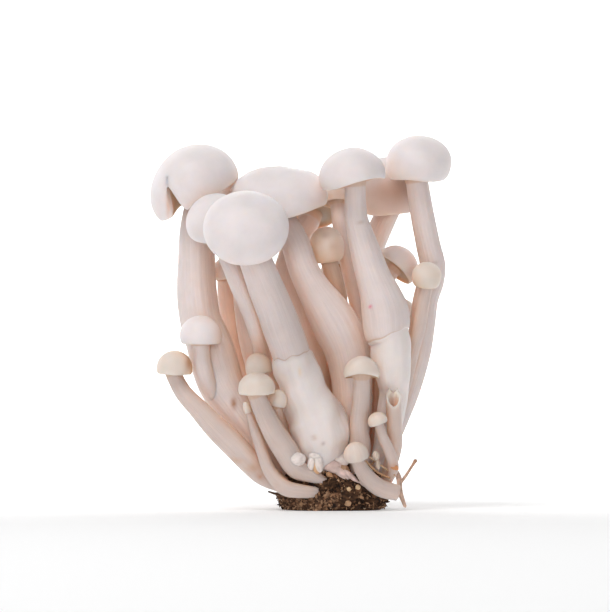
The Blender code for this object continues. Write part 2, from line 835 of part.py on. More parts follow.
def block_mesh():
    """The block of growing medium: a crumbly mound over a flat underside."""
    random = np.random.default_rng(BLOCK_SEED)
    shell = Shell()
    turn = 2 * math.pi * np.arange(BLOCK_SIDES) / BLOCK_SIDES
    square = (np.abs(np.sin(turn)) ** BLOCK_CORNER + np.abs(np.cos(turn)) ** BLOCK_CORNER) ** (
        -1 / BLOCK_CORNER
    )
    edge = square * (1 + sum(share * np.cos(lobes * turn + start) for lobes, share, start in BLOCK_LOBES))
    cx, cy = BLOCK_CENTRE

    def ring(share, height, crumb, count=BLOCK_SIDES):
        step = BLOCK_SIDES // count
        wide = share * edge[::step] * (1 + crumb * random.uniform(-1, 1, count) / BLOCK_HALF_WIDTH)
        x = cx + BLOCK_HALF_WIDTH * wide * np.sin(turn[::step])
        y = cy - BLOCK_HALF_DEPTH * wide * np.cos(turn[::step])
        z = height + crumb * random.uniform(-1, 1, count) * (height > 0)
        return shell.ring(np.column_stack([x, y, z]))

    below = ring(BLOCK_UNDERSIDE, 0.0, 0.0)
    shell.close_below(shell.pole((cx, cy, 0.0)), below)
    for share, height in BLOCK_SIDE:
        above = ring(share, height, BLOCK_CRUMB)
        shell.stitch(below, above)
        below = above
    above = ring(*BLOCK_CROWN, BLOCK_CRUMB, BLOCK_SIDES // 2)
    shell.stitch(below, above)
    shell.close_above(above, shell.pole((cx, cy, BLOCK_TOP)))
    return shell.mesh("substrate")


def material(name, colour, roughness):
    """A plain Principled material."""
    made = bpy.data.materials.new(name)
    made.use_nodes = True
    shader = made.node_tree.nodes["Principled BSDF"]
    shader.inputs["Base Color"].default_value = (*colour, 1.0)
    shader.inputs["Roughness"].default_value = roughness
    shader.inputs["Metallic"].default_value = 0.0
    return made


def place(mesh, finish, parent=None, helper=False):
    """Puts a mesh into the scene as an object with its finish. A helper only shapes another."""
    thing = bpy.data.objects.new(mesh.name, mesh)
    bpy.context.scene.collection.objects.link(thing)
    thing.data.materials.append(finish)
    thing.parent = parent
    thing.hide_render = helper
    if helper:
        thing.display_type = "WIRE"
    return thing


def combine(thing, other, operation):
    """Adds a Boolean of the other object to the thing."""
    step = thing.modifiers.new(other.name, "BOOLEAN")
    step.operation = operation
    step.object = other
    step.solver = "EXACT"


def main():
    for thing in list(bpy.data.objects):
        bpy.data.objects.remove(thing)
    white = material("white flesh", *WHITE_FLESH)
    cream = material("cream flesh", *CREAM_FLESH)
    brown = material("growing medium", *MEDIUM_BROWN)
    thread = material("root thread", *THREAD_TAN)

    clump = bpy.data.objects.new("clump", None)
    bpy.context.scene.collection.objects.link(clump)

    block = place(block_mesh(), brown, clump)
    stems = []
    for mushroom in TALL + SMALL:
        finish = cream if mushroom.cream else white
        place(mushroom_mesh(mushroom), finish, clump)
        stems.append((mushroom.name, mushroom.stem, mushroom.sides, mushroom.fine))
    for parent, mushroom in SHOOTS:
        stem = bpy.data.objects[parent]
        shoot = place(mushroom_mesh(mushroom), stem.active_material, clump, helper=True)
        combine(stem, shoot, "UNION")
    place(stub_mesh(STUB_STEM, STUB_SIDES), white, clump)
    stems.append(("broken_stub", STUB_STEM, STUB_SIDES, True))
    root = place(tube_mesh("root_thread", THREAD, THREAD_SIDES), thread, clump)
    branch = place(tube_mesh("root_branch", THREAD_BRANCH, THREAD_SIDES), thread, clump, helper=True)
    combine(root, branch, "UNION")
    stems.append(("root_thread", THREAD[:2], THREAD_SIDES, True))

    for name, points, sides, fine in stems:
        mesh = socket_mesh(name + "_socket", points, sides, fine)
        socket = place(mesh, brown, clump, helper=True)
        combine(block, socket, "DIFFERENCE")


main()
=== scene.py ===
"""The looks of a clump of white shimeji mushrooms on the growing medium that they sprouted from.

The tables give lengths in millimetres, with the front of the clump towards -Y, +X to its right
and +Z up. Every mesh is made in metres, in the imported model's own frame.
"""

import logging
import math
from dataclasses import dataclass, field, replace
from enum import Enum

import bpy
import numpy as np
from numpy.typing import NDArray
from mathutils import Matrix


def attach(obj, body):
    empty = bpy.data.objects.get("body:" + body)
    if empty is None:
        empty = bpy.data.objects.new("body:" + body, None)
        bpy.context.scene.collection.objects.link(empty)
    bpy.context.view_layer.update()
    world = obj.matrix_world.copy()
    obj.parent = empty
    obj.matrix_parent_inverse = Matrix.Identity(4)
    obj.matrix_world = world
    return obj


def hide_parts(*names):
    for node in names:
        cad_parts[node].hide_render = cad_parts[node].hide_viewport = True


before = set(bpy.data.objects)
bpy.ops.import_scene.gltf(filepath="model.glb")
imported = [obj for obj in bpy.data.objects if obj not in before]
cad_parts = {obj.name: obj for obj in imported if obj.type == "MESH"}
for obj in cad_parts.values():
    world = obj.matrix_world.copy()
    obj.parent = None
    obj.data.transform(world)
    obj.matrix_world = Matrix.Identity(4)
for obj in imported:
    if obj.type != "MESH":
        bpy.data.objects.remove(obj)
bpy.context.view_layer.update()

Array = NDArray[np.float64]
Path = tuple[tuple[float, float, float, float], ...]
Point = tuple[float, float, float]
Colour = tuple[float, float, float]

MM = 0.001
BODY = "root"

# Grid columns round a mushroom. Every second column under a cap is a gill's edge.
COLUMNS_LARGE = 144
COLUMNS_SMALL = 76
# Distance between two rows of a stem's grid.
ROW_STEP = 0.8
LEAST_ROWS = 3

# The profile of a cap, as shares of its radius and height. The gills hang from an arch that rises
# from the stem and falls to the lip.
LIP_RADIUS = 0.92
WIDEST_HEIGHT = 0.24
GILL_ARCH = 0.13
GILL_INNER = 1.25
GILL_INNER_MOST = 0.35
GILL_DEPTH = 0.055
# How deep the gills are at the stem, how fast they deepen, and the power by which they end at the lip.
GILL_START = 0.6
GILL_GROWTH = 2
GILL_FALL = 6
ARCH_CURVE = (0.7, 1.785, -2.485)
NECK_ROWS = 4
UNDER_ROWS = 16
LIP_ROWS = 6
DOME_ROWS = 24
# How far a stem ends below the rim, as a share of its radius, and its foot's blunt end.
HEAD_SHORT = 0.25
FOOT_END = 0.6
# The length below the rim over which a stem's ripples fade.
EVEN_HEAD = 4
# Reaches about a tear, as multiples of its width: its extra rows, its jags and its crack.
TEAR_ROWS_REACH = 2
TEAR_JAG_REACH = 3
TEAR_CRACK_REACH = 0.5

# The balls that stand for a mushroom: a stem's weight, and the shares of a cap's height in the
# place and the size of its ball.
STEM_WEIGHT = 2 / math.pi
CAP_BALL_RISE = 0.45
CAP_BALL_SHARE = 0.6
# No point counts as nearer to a ball's middle than this.
NEAREST = 0.3

# A cleft draws the rim in by this share, from one share of the radius to full strength at another.
CLEFT_DRAW = 0.22
CLEFT_START = 0.3
CLEFT_FULL = 0.7

# Below this height a stem takes the foot's stain, over this fade.
FOOT_STAIN_TOP = 20.0
FOOT_STAIN_FADE = 16.0
FOOT_STAIN_STREAKS = 0.22
# Painted shade in the valleys between the gills.
GILL_VALLEY_PAINTED_SHADE = 0.14
# How fibrous the flesh is under a cap and on it, where a stem is 1.
GILL_FIBRE = 0.5
CAP_FIBRE = 0.12
# A mark is at full strength where the surface turns to the front by more than one part in this.
MARK_FACING = 2
# The power that keeps half sheltered places light in the painted shade.
PAINTED_SHADE_CURVE = 1.3
# Painted shade and glow deep between the stems: what is left of each colour there, red brightened as if lit
# through the flesh.
PAINTED_SHADE_AND_GLOW = (1.32, 0.94, 0.58)
# Torn flesh, and painted shade in the crack of a tear and inside a cleft.
TORN_FLESH_AND_PAINTED_SHADE = (214, 180, 150)
TORN_AND_PAINTED_SHADE_STRENGTH = 0.6
SHEATH_SHADE = (240, 231, 228)
# The shares of a sheath's fibres, of the foot's stain and of the painted shade that a sheath does without.
SHEATH_SMOOTH = 0.75
SHEATH_CLEAN = 0.7
PAINTED_SHADE_SPARED = 0.6
STUB_SHADE = (224, 206, 198)
# Painted shade deep in the broken stub's hollow.
STUB_HOLLOW_PAINTED_SHADE = (214, 164, 122)
STUB_TIP = (246, 236, 226)
MEDIUM_DARK = (58, 38, 26)
MEDIUM_PALE = (108, 76, 52)
MEDIUM_CRUMBS = ((58, 38, 26), (84, 56, 38), (118, 84, 60), (36, 24, 18), (160, 124, 94))
MEDIUM_SLIVERS = ((112, 78, 54), (146, 110, 82), (66, 44, 30), (178, 140, 110))
MEDIUM_FLECKS = ((190, 150, 116), (206, 176, 150), (160, 120, 88))
MEDIUM_CRUST = ((150, 112, 84), (116, 84, 62), (178, 140, 110), (86, 60, 44))
# A crumb's twelve corners and twenty faces, before it is bent.
CRUMB_CORNERS = (
    (-1, 1.618, 0), (1, 1.618, 0), (-1, -1.618, 0), (1, -1.618, 0), (0, -1, 1.618), (0, 1, 1.618),
    (0, -1, -1.618), (0, 1, -1.618), (1.618, 0, -1), (1.618, 0, 1), (-1.618, 0, -1), (-1.618, 0, 1),
)
CRUMB_FACES = (
    (0, 11, 5), (0, 5, 1), (0, 1, 7), (0, 7, 10), (0, 10, 11), (1, 5, 9), (5, 11, 4), (11, 10, 2),
    (10, 7, 6), (7, 1, 8), (3, 9, 4), (3, 4, 2), (3, 2, 6), (3, 6, 8), (3, 8, 9), (4, 9, 5),
    (2, 4, 11), (6, 2, 10), (8, 6, 7), (9, 8, 1),
)

# How strongly a relief bends the light.
RELIEF_STRENGTH = 0.7
# Mushrooms draw their seeds below this number.
SEED_RANGE = 9973
# A knob's seed grows by the first two with its place across and up, from the last.
KNOB_SEED = (97, 31, 5)
# The sockets of a colour mix: its share, its two colours and its result.
MIX_SHARE = 0
MIX_COLOURS = (6, 7)
MIX_RESULT = 2

log = logging.getLogger("mushroom clump")


class Tone(Enum):
    """Which flesh a mushroom has: the slot it takes and the shades of its parts."""

    WHITE = "white"
    CREAM = "cream"
    TAN = "tan"

    @property
    def slot(self) -> str:
        """The record's material slot."""
        return "white_flesh" if self is Tone.WHITE else "cream_flesh"


def linear(red: float, green: float, blue: float) -> Array:
    """Turns a colour of 0 to 255 on a screen into light: c = ((s + 0.055) / 1.055) ** 2.4.

    Args:
        red, green, blue: The colour's parts on a screen.

    Returns:
        The three parts as shares of full light.
    """
    return ((np.array([red, green, blue]) / 255 + 0.055) / 1.055) ** 2.4


@dataclass(frozen=True)
class Shades:
    """The colours of one kind of flesh: cap, stem, foot and gills. The gills' warm, darker colour is partly
    their own and partly painted shade under the cap.
    """

    cap: Colour
    stem: Colour
    foot: Colour
    gills: Colour


SHADES = {
    Tone.WHITE: Shades((236, 228, 228), (234, 221, 218), (228, 212, 208), (222, 190, 164)),
    Tone.CREAM: Shades((229, 216, 206), (222, 205, 198), (222, 204, 196), (216, 182, 154)),
    Tone.TAN: Shades((238, 224, 214), (214, 190, 174), (200, 176, 158), (212, 184, 166)),
}


def hermite(values: Array, at: Array, knots: Array, bounded: bool = False) -> Array:
    """A smooth curve through values at knots, by cubic pieces.

    The slope at a knot is the mean of the slopes beside it, each weighted by the other's length.
    Bounded, a slope is nought at a peak and at most twice the gentler slope beside it.

    Args:
        values: One row for each knot.
        at: Where to read the curve.
        knots: Rising places of the values.
        bounded: Whether the curve keeps between its values.

    Returns:
        One row for each place in at.
    """
    step = np.diff(knots)[:, None]
    secant = np.diff(values, axis=0) / step
    inner = (step[1:] * secant[:-1] + step[:-1] * secant[1:]) / (step[1:] + step[:-1])
    if bounded:
        least = 2 * np.minimum(np.abs(secant[:-1]), np.abs(secant[1:]))
        inner = np.clip(inner, -least, least) * (secant[:-1] * secant[1:] > 0)
    slope = np.vstack([secant[:1], inner, secant[-1:]])
    i = np.clip(np.searchsorted(knots, at, "right") - 1, 0, len(step) - 1)
    h = step[i]
    t = (at[:, None] - knots[i, None]) / h
    return (
        values[i] * (1 + 2 * t) * (1 - t) ** 2
        + values[i + 1] * t**2 * (3 - 2 * t)
        + slope[i] * h * t * (1 - t) ** 2
        - slope[i + 1] * h * t**2 * (1 - t)
    )


def across(direction: Array) -> tuple[Array, Array]:
    """Two directions square to each given one: towards the front, and to its right.

    Args:
        direction: Unit directions, one in each row.

    Returns:
        The front and right directions, one in each row.
    """
    front = np.array([0.0, -1.0, 0.0])
    front = front - direction * (direction @ front)[:, None]
    front = front / np.linalg.norm(front, axis=1, keepdims=True)
    return front, np.cross(direction, front)


def turns(columns: int) -> Array:
    """The angles of a grid's columns, from the front towards the right and round."""
    return 2 * math.pi * np.arange(columns) / columns


def lengths(points: Array) -> Array:
    """The length along straight lines from the first point to each one."""
    return np.concatenate([[0], np.cumsum(np.linalg.norm(np.diff(points, axis=0), axis=1))])


def mixed(low: Array, high: Array, share: Array | float) -> Array:
    """Two colours or values mixed: low * (1 - share) + high * share."""
    return low * (1 - share) + high * share


@dataclass(frozen=True)
class Waves:
    """Seamless waves round and along a surface: the sum of count cosines of m * turn + k * along + p.

    lobes are the least and most lobes round the surface, m, and step is the typical k, in radians a
    millimetre.
    """

    lobes: tuple[int, int]
    step: float
    count: int

    def over(self, turn: Array, along: Array, seed: int) -> Array:
        """The waves on a grid.

        Args:
            turn: Angles round the surface.
            along: Lengths along the surface.
            seed: The seed of the random draw.

        Returns:
            A grid of rows along by columns round, mostly between -1 and 1.
        """
        random = np.random.default_rng(seed)
        m = random.integers(self.lobes[0], self.lobes[1] + 1, self.count)
        k = self.step * random.normal(size=self.count)
        p = random.uniform(0, 2 * math.pi, self.count)
        waves = np.cos(m * turn[None, :, None] + k * along[:, None, None] + p)
        return waves.sum(axis=2) / math.sqrt(self.count)


FLUTES = Waves((2, 4), 0.12, 5)
RIDGES = Waves((9, 26), 0.16, 16)
TEAR_JAGS = Waves((2, 8), 0, 7)
SHEATH_LUMPS = Waves((1, 5), 0.5, 12)
# A cap's waves have their step in radians over its radius.
CAP_WAVES = Waves((2, 7), 0.5, 7)
FOOT_STREAKS = Waves((3, 20), 0.25, 14)
THREAD_STREAKS = Waves((1, 9), 0.8, 9)
STUB_JAGS = Waves((7, 26), 0, 12)
SCRAP_LUMPS = Waves((1, 5), 2.5, 10)
SCRAP_STREAKS = Waves((1, 9), 5.0, 12)
MEDIUM_LUMPS = Waves((2, 14), 0.35, 14)
MEDIUM_GRIT = Waves((16, 60), 1.6, 24)
MEDIUM_PATCHES = Waves((5, 40), 2.0, 20)


@dataclass
class Surface:
    """The arrays of one object's mesh, in millimetres.

    points are the vertices, sizes the corner count of each face and corners their vertex numbers.
    shades is a colour for each vertex, grain the place that its fibres follow, and fibre how
    fibrous it is.
    """

    points: Array
    sizes: Array
    corners: Array
    shades: Array
    grain: Array
    fibre: Array
    smooth: bool = True

    def piece(self, name: str, finish: bpy.types.Material, slot: str) -> bpy.types.Object:
        """Makes the object, at the origin and riding on the clump.

        Args:
            name: The object's name.
            finish: Its material.
            slot: The record's material slot; not used.

        Returns:
            The new object.
        """
        mesh = bpy.data.meshes.new(name)
        mesh.vertices.add(len(self.points))
        mesh.vertices.foreach_set("co", (self.points * MM).astype(np.float32).reshape(-1))
        mesh.loops.add(len(self.corners))
        mesh.loops.foreach_set("vertex_index", self.corners.astype(np.int32))
        mesh.polygons.add(len(self.sizes))
        starts = np.cumsum(self.sizes) - self.sizes
        mesh.polygons.foreach_set("loop_start", starts.astype(np.int32))
        mesh.update(calc_edges=True)
        mesh.polygons.foreach_set("use_smooth", np.full(len(self.sizes), self.smooth))
        colour = mesh.color_attributes.new("flesh", "FLOAT_COLOR", "POINT")
        shades = np.column_stack([np.clip(self.shades, 0, 1), np.ones(len(self.shades))])
        colour.data.foreach_set("color", shades.astype(np.float32).reshape(-1))
        place = mesh.attributes.new("grain", "FLOAT_VECTOR", "POINT")
        place.data.foreach_set("vector", self.grain.astype(np.float32).reshape(-1))
        fibre = mesh.attributes.new("fibre", "FLOAT", "POINT")
        fibre.data.foreach_set("value", self.fibre.astype(np.float32))
        mesh.materials.append(finish)
        thing = bpy.data.objects.new(name, mesh)
        bpy.context.scene.collection.objects.link(thing)
        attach(thing, BODY)
        log.info("%s: %d vertices, %d faces", name, len(self.points), len(self.sizes))
        return thing


@dataclass
class Skin:
    """A closed grid of points: rows from a foot to a crown, columns round it."""

    grid: Array
    foot: Array
    crown: Array
    along: Array
    shade: Array
    fibre: Array

    @property
    def normals(self) -> Array:
        """Unit normals out of the grid: the way round crossed with the way up."""
        round_way = np.roll(self.grid, -1, axis=1) - np.roll(self.grid, 1, axis=1)
        square = np.cross(round_way, np.gradient(self.grid, axis=0))
        return square / np.maximum(np.linalg.norm(square, axis=2, keepdims=True), 1e-9)

    def surface(self) -> Surface:
        """The skin as a mesh: quads between the rows, and triangles at the foot and the crown."""
        rows, columns = self.grid.shape[:2]
        here = np.arange(columns)
        after = (here + 1) % columns
        row = np.arange(rows - 1)[:, None] * columns
        quads = np.stack([row + here, row + after, row + after + columns, row + here + columns], axis=2)
        top = (rows - 1) * columns
        foot = rows * columns
        below = np.stack([np.full(columns, foot), after, here], axis=1)
        above = np.stack([top + here, top + after, np.full(columns, foot + 1)], axis=1)
        turn = turns(columns)
        grain = np.empty((rows, columns, 3))
        grain[..., 0], grain[..., 1], grain[..., 2] = np.cos(turn), np.sin(turn), self.along[:, None]
        ends = np.array([[0, 0, self.along[0]], [0, 0, self.along[-1]]])
        return Surface(
            points=np.vstack([self.grid.reshape(-1, 3), self.foot, self.crown]),
            sizes=np.array([4] * ((rows - 1) * columns) + [3] * (2 * columns)),
            corners=np.concatenate([quads.reshape(-1), below.reshape(-1), above.reshape(-1)]),
            shades=np.vstack([self.shade.reshape(-1, 3), self.shade[[0, -1]].mean(axis=1)]),
            grain=np.vstack([grain.reshape(-1, 3), ends]),
            fibre=np.concatenate([np.repeat(self.fibre, columns), self.fibre[[0, -1]]]),
        )


def joined(surfaces: list[Surface]) -> Surface:
    """Several closed surfaces as one mesh.

    Args:
        surfaces: The surfaces, which share no vertex.

    Returns:
        One surface with all their arrays, one after another.
    """
    shifts = np.cumsum([0] + [len(s.points) for s in surfaces[:-1]])
    return Surface(
        points=np.vstack([s.points for s in surfaces]),
        sizes=np.concatenate([s.sizes for s in surfaces]),
        corners=np.concatenate([s.corners + shift for s, shift in zip(surfaces, shifts)]),
        shades=np.vstack([s.shades for s in surfaces]),
        grain=np.vstack([s.grain for s in surfaces]),
        fibre=np.concatenate([s.fibre for s in surfaces]),
        smooth=surfaces[0].smooth,
    )


@dataclass(frozen=True)
class Ball:
    """A ball that stands for a stretch of a stem, or for a cap, where it shelters its neighbours."""

    centre: Point
    radius: float
    weight: float


@dataclass
class Shelter:
    """How much of the light round the clump each point of it misses, painted into its colour as shade."""

    balls: list[Ball] = field(default_factory=list)
    strength: float = 0.44
    open_share: float = 0.1
    row_step: int = 3
    column_step: int = 4

    def add(self, mushroom: "Mushroom") -> None:
        """Adds a mushroom's stem, as balls a radius apart, and its cap."""
        self.balls += mushroom.balls()

    def over(self, skin: Skin) -> Array:
        """The sheltered share of each grid point: 1 - exp(-strength * sum of w * cos * (r / d) ** 2).

        cos is between the point's normal and the way to a ball's middle, d away. What is left above
        the open share is stretched back to 1. It is worked out on every few rows and columns, and in
        straight lines between them.

        Args:
            skin: The grid.

        Returns:
            One value for each point of the grid, 0 in the open and near 1 where hidden.
        """
        rows, columns = skin.grid.shape[:2]
        picked = np.unique(np.append(np.arange(0, rows, self.row_step), rows - 1))
        points = skin.grid[picked][:, :: self.column_step].astype(np.float32)
        normals = skin.normals[picked][:, :: self.column_step].astype(np.float32)
        centres = np.array([b.centre for b in self.balls], np.float32)
        sizes = np.array([b.weight * b.radius**2 for b in self.balls], np.float32)
        way = centres - points[:, :, None, :]
        distance = np.maximum(np.linalg.norm(way, axis=3), NEAREST)
        facing = np.maximum(np.einsum("rcbk,rck->rcb", way, normals) / distance, 0)
        hidden = 1 - np.exp(-self.strength * (facing * sizes / distance**2).sum(axis=2))
        hidden = np.maximum(hidden - self.open_share, 0) / (1 - self.open_share)
        full_rows = np.array([np.interp(np.arange(rows), picked, column) for column in hidden.T]).T
        low = np.arange(columns) // self.column_step
        share = (np.arange(columns) % self.column_step) / self.column_step
        high = (low + 1) % hidden.shape[1]
        return mixed(full_rows[:, low], full_rows[:, high], share)


@dataclass(frozen=True)
class Stem:
    """A stem that runs through its points (x, y, z, radius), foot first.

    tears are the points at which its skin is torn all round. Below the first one lies a smoother,
    lumpier sheath.
    """

    path: Path
    tears: tuple[int, ...] = ()
    lumps: float = 0.03
    fluting: float = 0.02
    ridges: float = 0.006
    tear_height: float = 0.3
    tear_depth: float = 0.09
    tear_width: float = 0.24
    tear_rows: int = 22

    def rows(self, turn: Array, seed: int) -> tuple[Array, Array, Array, Array, Array]:
        """The grid along the stem: centre + radius * (front * cos(turn) + right * sin(turn)).

        The radius is rippled by a few broad flutes and many fine ridges. At a tear the rows shift up
        and down round the stem, and the skin dips.

        Args:
            turn: Angles of the columns.
            seed: The seed of the ripples.

        Returns:
            The grid, the length at each row, the direction at the first row, how near each row is to
            a tear, and how far it lies in the sheath, both from 0 to 1.
        """
        path = np.array(self.path)
        knots = lengths(path[:, :3])
        count = np.maximum(LEAST_ROWS, np.ceil(np.diff(knots) / ROW_STEP).astype(int))
        at = [np.linspace(a, b, n, endpoint=False) for a, b, n in zip(knots, knots[1:], count)]
        for tear in self.tears:
            reach = np.linspace(-TEAR_ROWS_REACH, TEAR_ROWS_REACH, self.tear_rows)
            at.append(knots[tear] + reach * self.tear_width)
        at = np.unique(np.round(np.concatenate(at + [knots[-1:]]), 4))
        centres = hermite(path[:, :3], at, knots)
        radii = hermite(path[:, 3:], at, knots, bounded=True)
        tangents = np.gradient(centres, at, axis=0)
        tangents /= np.linalg.norm(tangents, axis=1, keepdims=True)
        front, right = across(tangents)
        swell = self.fluting * FLUTES.over(turn, at, seed)
        swell += self.ridges * RIDGES.over(turn, at, seed + 1)
        swell *= np.clip((knots[-1] - at) / EVEN_HEAD, 0, 1)[:, None]
        torn, sheath = np.zeros((2, len(at)))
        shift = np.zeros((len(at), len(turn)))
        for tear in self.tears:
            above = at - knots[tear]
            near = np.exp(-((above / (TEAR_JAG_REACH * self.tear_width)) ** 2))[:, None]
            shift += self.tear_height * near * TEAR_JAGS.over(turn, np.zeros(1), seed + 2)[0]
            torn += np.exp(-((above / (TEAR_CRACK_REACH * self.tear_width)) ** 2))
            sheath += np.clip(-above / self.tear_width, 0, 1)
        swell += self.lumps * SHEATH_LUMPS.over(turn, at, seed + 3) * np.minimum(sheath, 1)[:, None]
        size = radii * (1 + swell) - self.tear_depth * torn[:, None]
        grid = centres[:, None] + size[:, :, None] * (
            np.cos(turn)[None, :, None] * front[:, None] + np.sin(turn)[None, :, None] * right[:, None]
        )
        return grid + shift[:, :, None] * tangents[:, None], at, tangents[0], torn, np.minimum(sheath, 1)


@dataclass(frozen=True)
class Cap:
    """A mushroom's cap: its size, how it tips and its unevenness.

    roll tips the crown towards +X and lean towards the front, in degrees. Each wave has a number of
    lobes, an azimuth, a share of the radius and a lift. A cleft has an azimuth, a half width in
    degrees and a depth. A dimple has an azimuth, a share of the radius, a half width and a depth.
    lip is the lip's share of the radius, and widest the widest ring's share of the height.
    """

    radius: float
    height: float
    roll: float = 0.0
    lean: float = 0.0
    waves: tuple[tuple[float, float, float, float], ...] = ()
    cleft: tuple[float, float, float] | None = None
    dimple: tuple[float, float, float, float] | None = None
    unevenness: float = 0.008
    lip: float = LIP_RADIUS
    widest: float = WIDEST_HEIGHT

    @property
    def axis(self) -> Array:
        """The direction from the middle of the rim to the crown."""
        roll, lean = math.radians(self.roll), math.radians(self.lean)
        return np.array(
            [math.sin(roll) * math.cos(lean), -math.sin(lean), math.cos(roll) * math.cos(lean)]
        )

    def profile(self, stem_radius: float) -> tuple[Array, Array, Array, Array]:
        """The cap's outline from the stem, under the gills, round the lip and over the top.

        Under the cap the height is arch * (a + b * q + c * q ** 2), with q from 0 at the stem to 1 at
        the lip. The lip is a quarter of an ellipse out to the widest ring, and so is the top above.

        Args:
            stem_radius: The stem's radius under the cap.

        Returns:
            For each row the share of the radius, the height, the gills' depth, and 1 on the outside
            or 0 under the cap.
        """
        stem = stem_radius / self.radius
        inner = min(GILL_INNER * stem, stem + GILL_INNER_MOST * (self.lip - stem))
        q = np.linspace(0, 1, UNDER_ROWS, endpoint=False)
        a, b, c = ARCH_CURVE
        under = inner + (self.lip - inner) * q
        arch = GILL_ARCH * self.radius * (a + b * q + c * q**2)
        gills = GILL_DEPTH * self.radius * np.minimum(1, GILL_START + GILL_GROWTH * q) * (1 - q**GILL_FALL)
        t = np.linspace(0, math.pi / 2, LIP_ROWS, endpoint=False)
        low = self.widest * self.height
        lip = self.lip + (1 - self.lip) * np.sin(t)
        rise = low * (1 - np.cos(t))
        u = np.linspace(0, math.pi / 2, DOME_ROWS, endpoint=False)
        share = np.concatenate([under, lip, np.cos(u)])
        height = np.concatenate([arch, rise, low + (self.height - low) * np.sin(u)])
        depth = np.concatenate([gills, np.zeros(LIP_ROWS + DOME_ROWS)])
        outside = np.concatenate([np.zeros(UNDER_ROWS), np.ones(LIP_ROWS + DOME_ROWS)])
        return share, height, depth, outside

    def cut(self, share: Array, height: Array, turn: Array) -> Array:
        """How deep in the cleft each point is, from 0 to 1: a bump round the rim that fades upwards."""
        if self.cleft is None:
            return np.zeros((len(share), len(turn)))
        azimuth, half_width, depth = self.cleft
        apart = (turn - math.radians(azimuth) + math.pi) % (2 * math.pi) - math.pi
        bump = np.exp(-((apart / math.radians(half_width)) ** 2))
        outer = np.clip((share - CLEFT_START) / (CLEFT_FULL - CLEFT_START), 0, 1)
        return bump * (np.maximum(0, 1 - height / depth) * outer)[:, None]

    def rows(
        self, centre: Array, stem_radius: float, turn: Array, seed: int
    ) -> tuple[Array, Array, Array]:
        """The cap's grid: centre + share * radius * (front, right) round it + height along the axis.

        Args:
            centre: The middle of the rim.
            stem_radius: The stem's radius under the cap.
            turn: Angles of the columns.
            seed: The seed of the unevenness.

        Returns:
            The grid, 1 for each row on the outside or 0 under the cap, and how deep in the cleft
            each point is.
        """
        share, height, gills, outside = self.profile(stem_radius)
        front, right = (v[0] for v in across(self.axis[None]))
        radial = np.repeat((share * self.radius)[:, None], len(turn), axis=1)
        rise = np.repeat(height[:, None], len(turn), axis=1)
        reach = np.minimum(share, 1)[:, None]
        for lobes, azimuth, spread, lift in self.waves:
            wave = np.cos(lobes * (turn - math.radians(azimuth)))
            radial = radial * (1 + spread * wave * reach)
            rise = rise + lift * wave * reach
        cut = self.cut(share, height, turn)
        if self.cleft is not None:
            rise = rise + cut * (self.cleft[2] - height[:, None])
            radial = radial * (1 - CLEFT_DRAW * cut)
        if self.dimple is not None:
            azimuth, place, half_width, depth = self.dimple
            away = np.hypot(
                share[:, None] * np.cos(turn) - place * math.cos(math.radians(azimuth)),
                share[:, None] * np.sin(turn) - place * math.sin(math.radians(azimuth)),
            )
            rise = rise - depth * np.exp(-((away / half_width) ** 2)) * outside[:, None]
        uneven = replace(CAP_WAVES, step=CAP_WAVES.step / self.radius).over(turn, height, seed)
        rise = rise + self.unevenness * self.radius * uneven * reach * (1 - cut)
        rise = rise - gills[:, None] * np.cos(math.pi * np.arange(len(turn)))
        grid = centre + radial[:, :, None] * (
            np.cos(turn)[None, :, None] * front + np.sin(turn)[None, :, None] * right
        ) + rise[:, :, None] * self.axis
        return grid, outside, cut


@dataclass(frozen=True)
class Mark:
    """A blotch seen from the front: its place, its radii across and up, its colour and strength. Some are
    stains, and some are painted shade.
    """

    x: float
    z: float
    across: float
    up: float
    colour: Colour
    strength: float


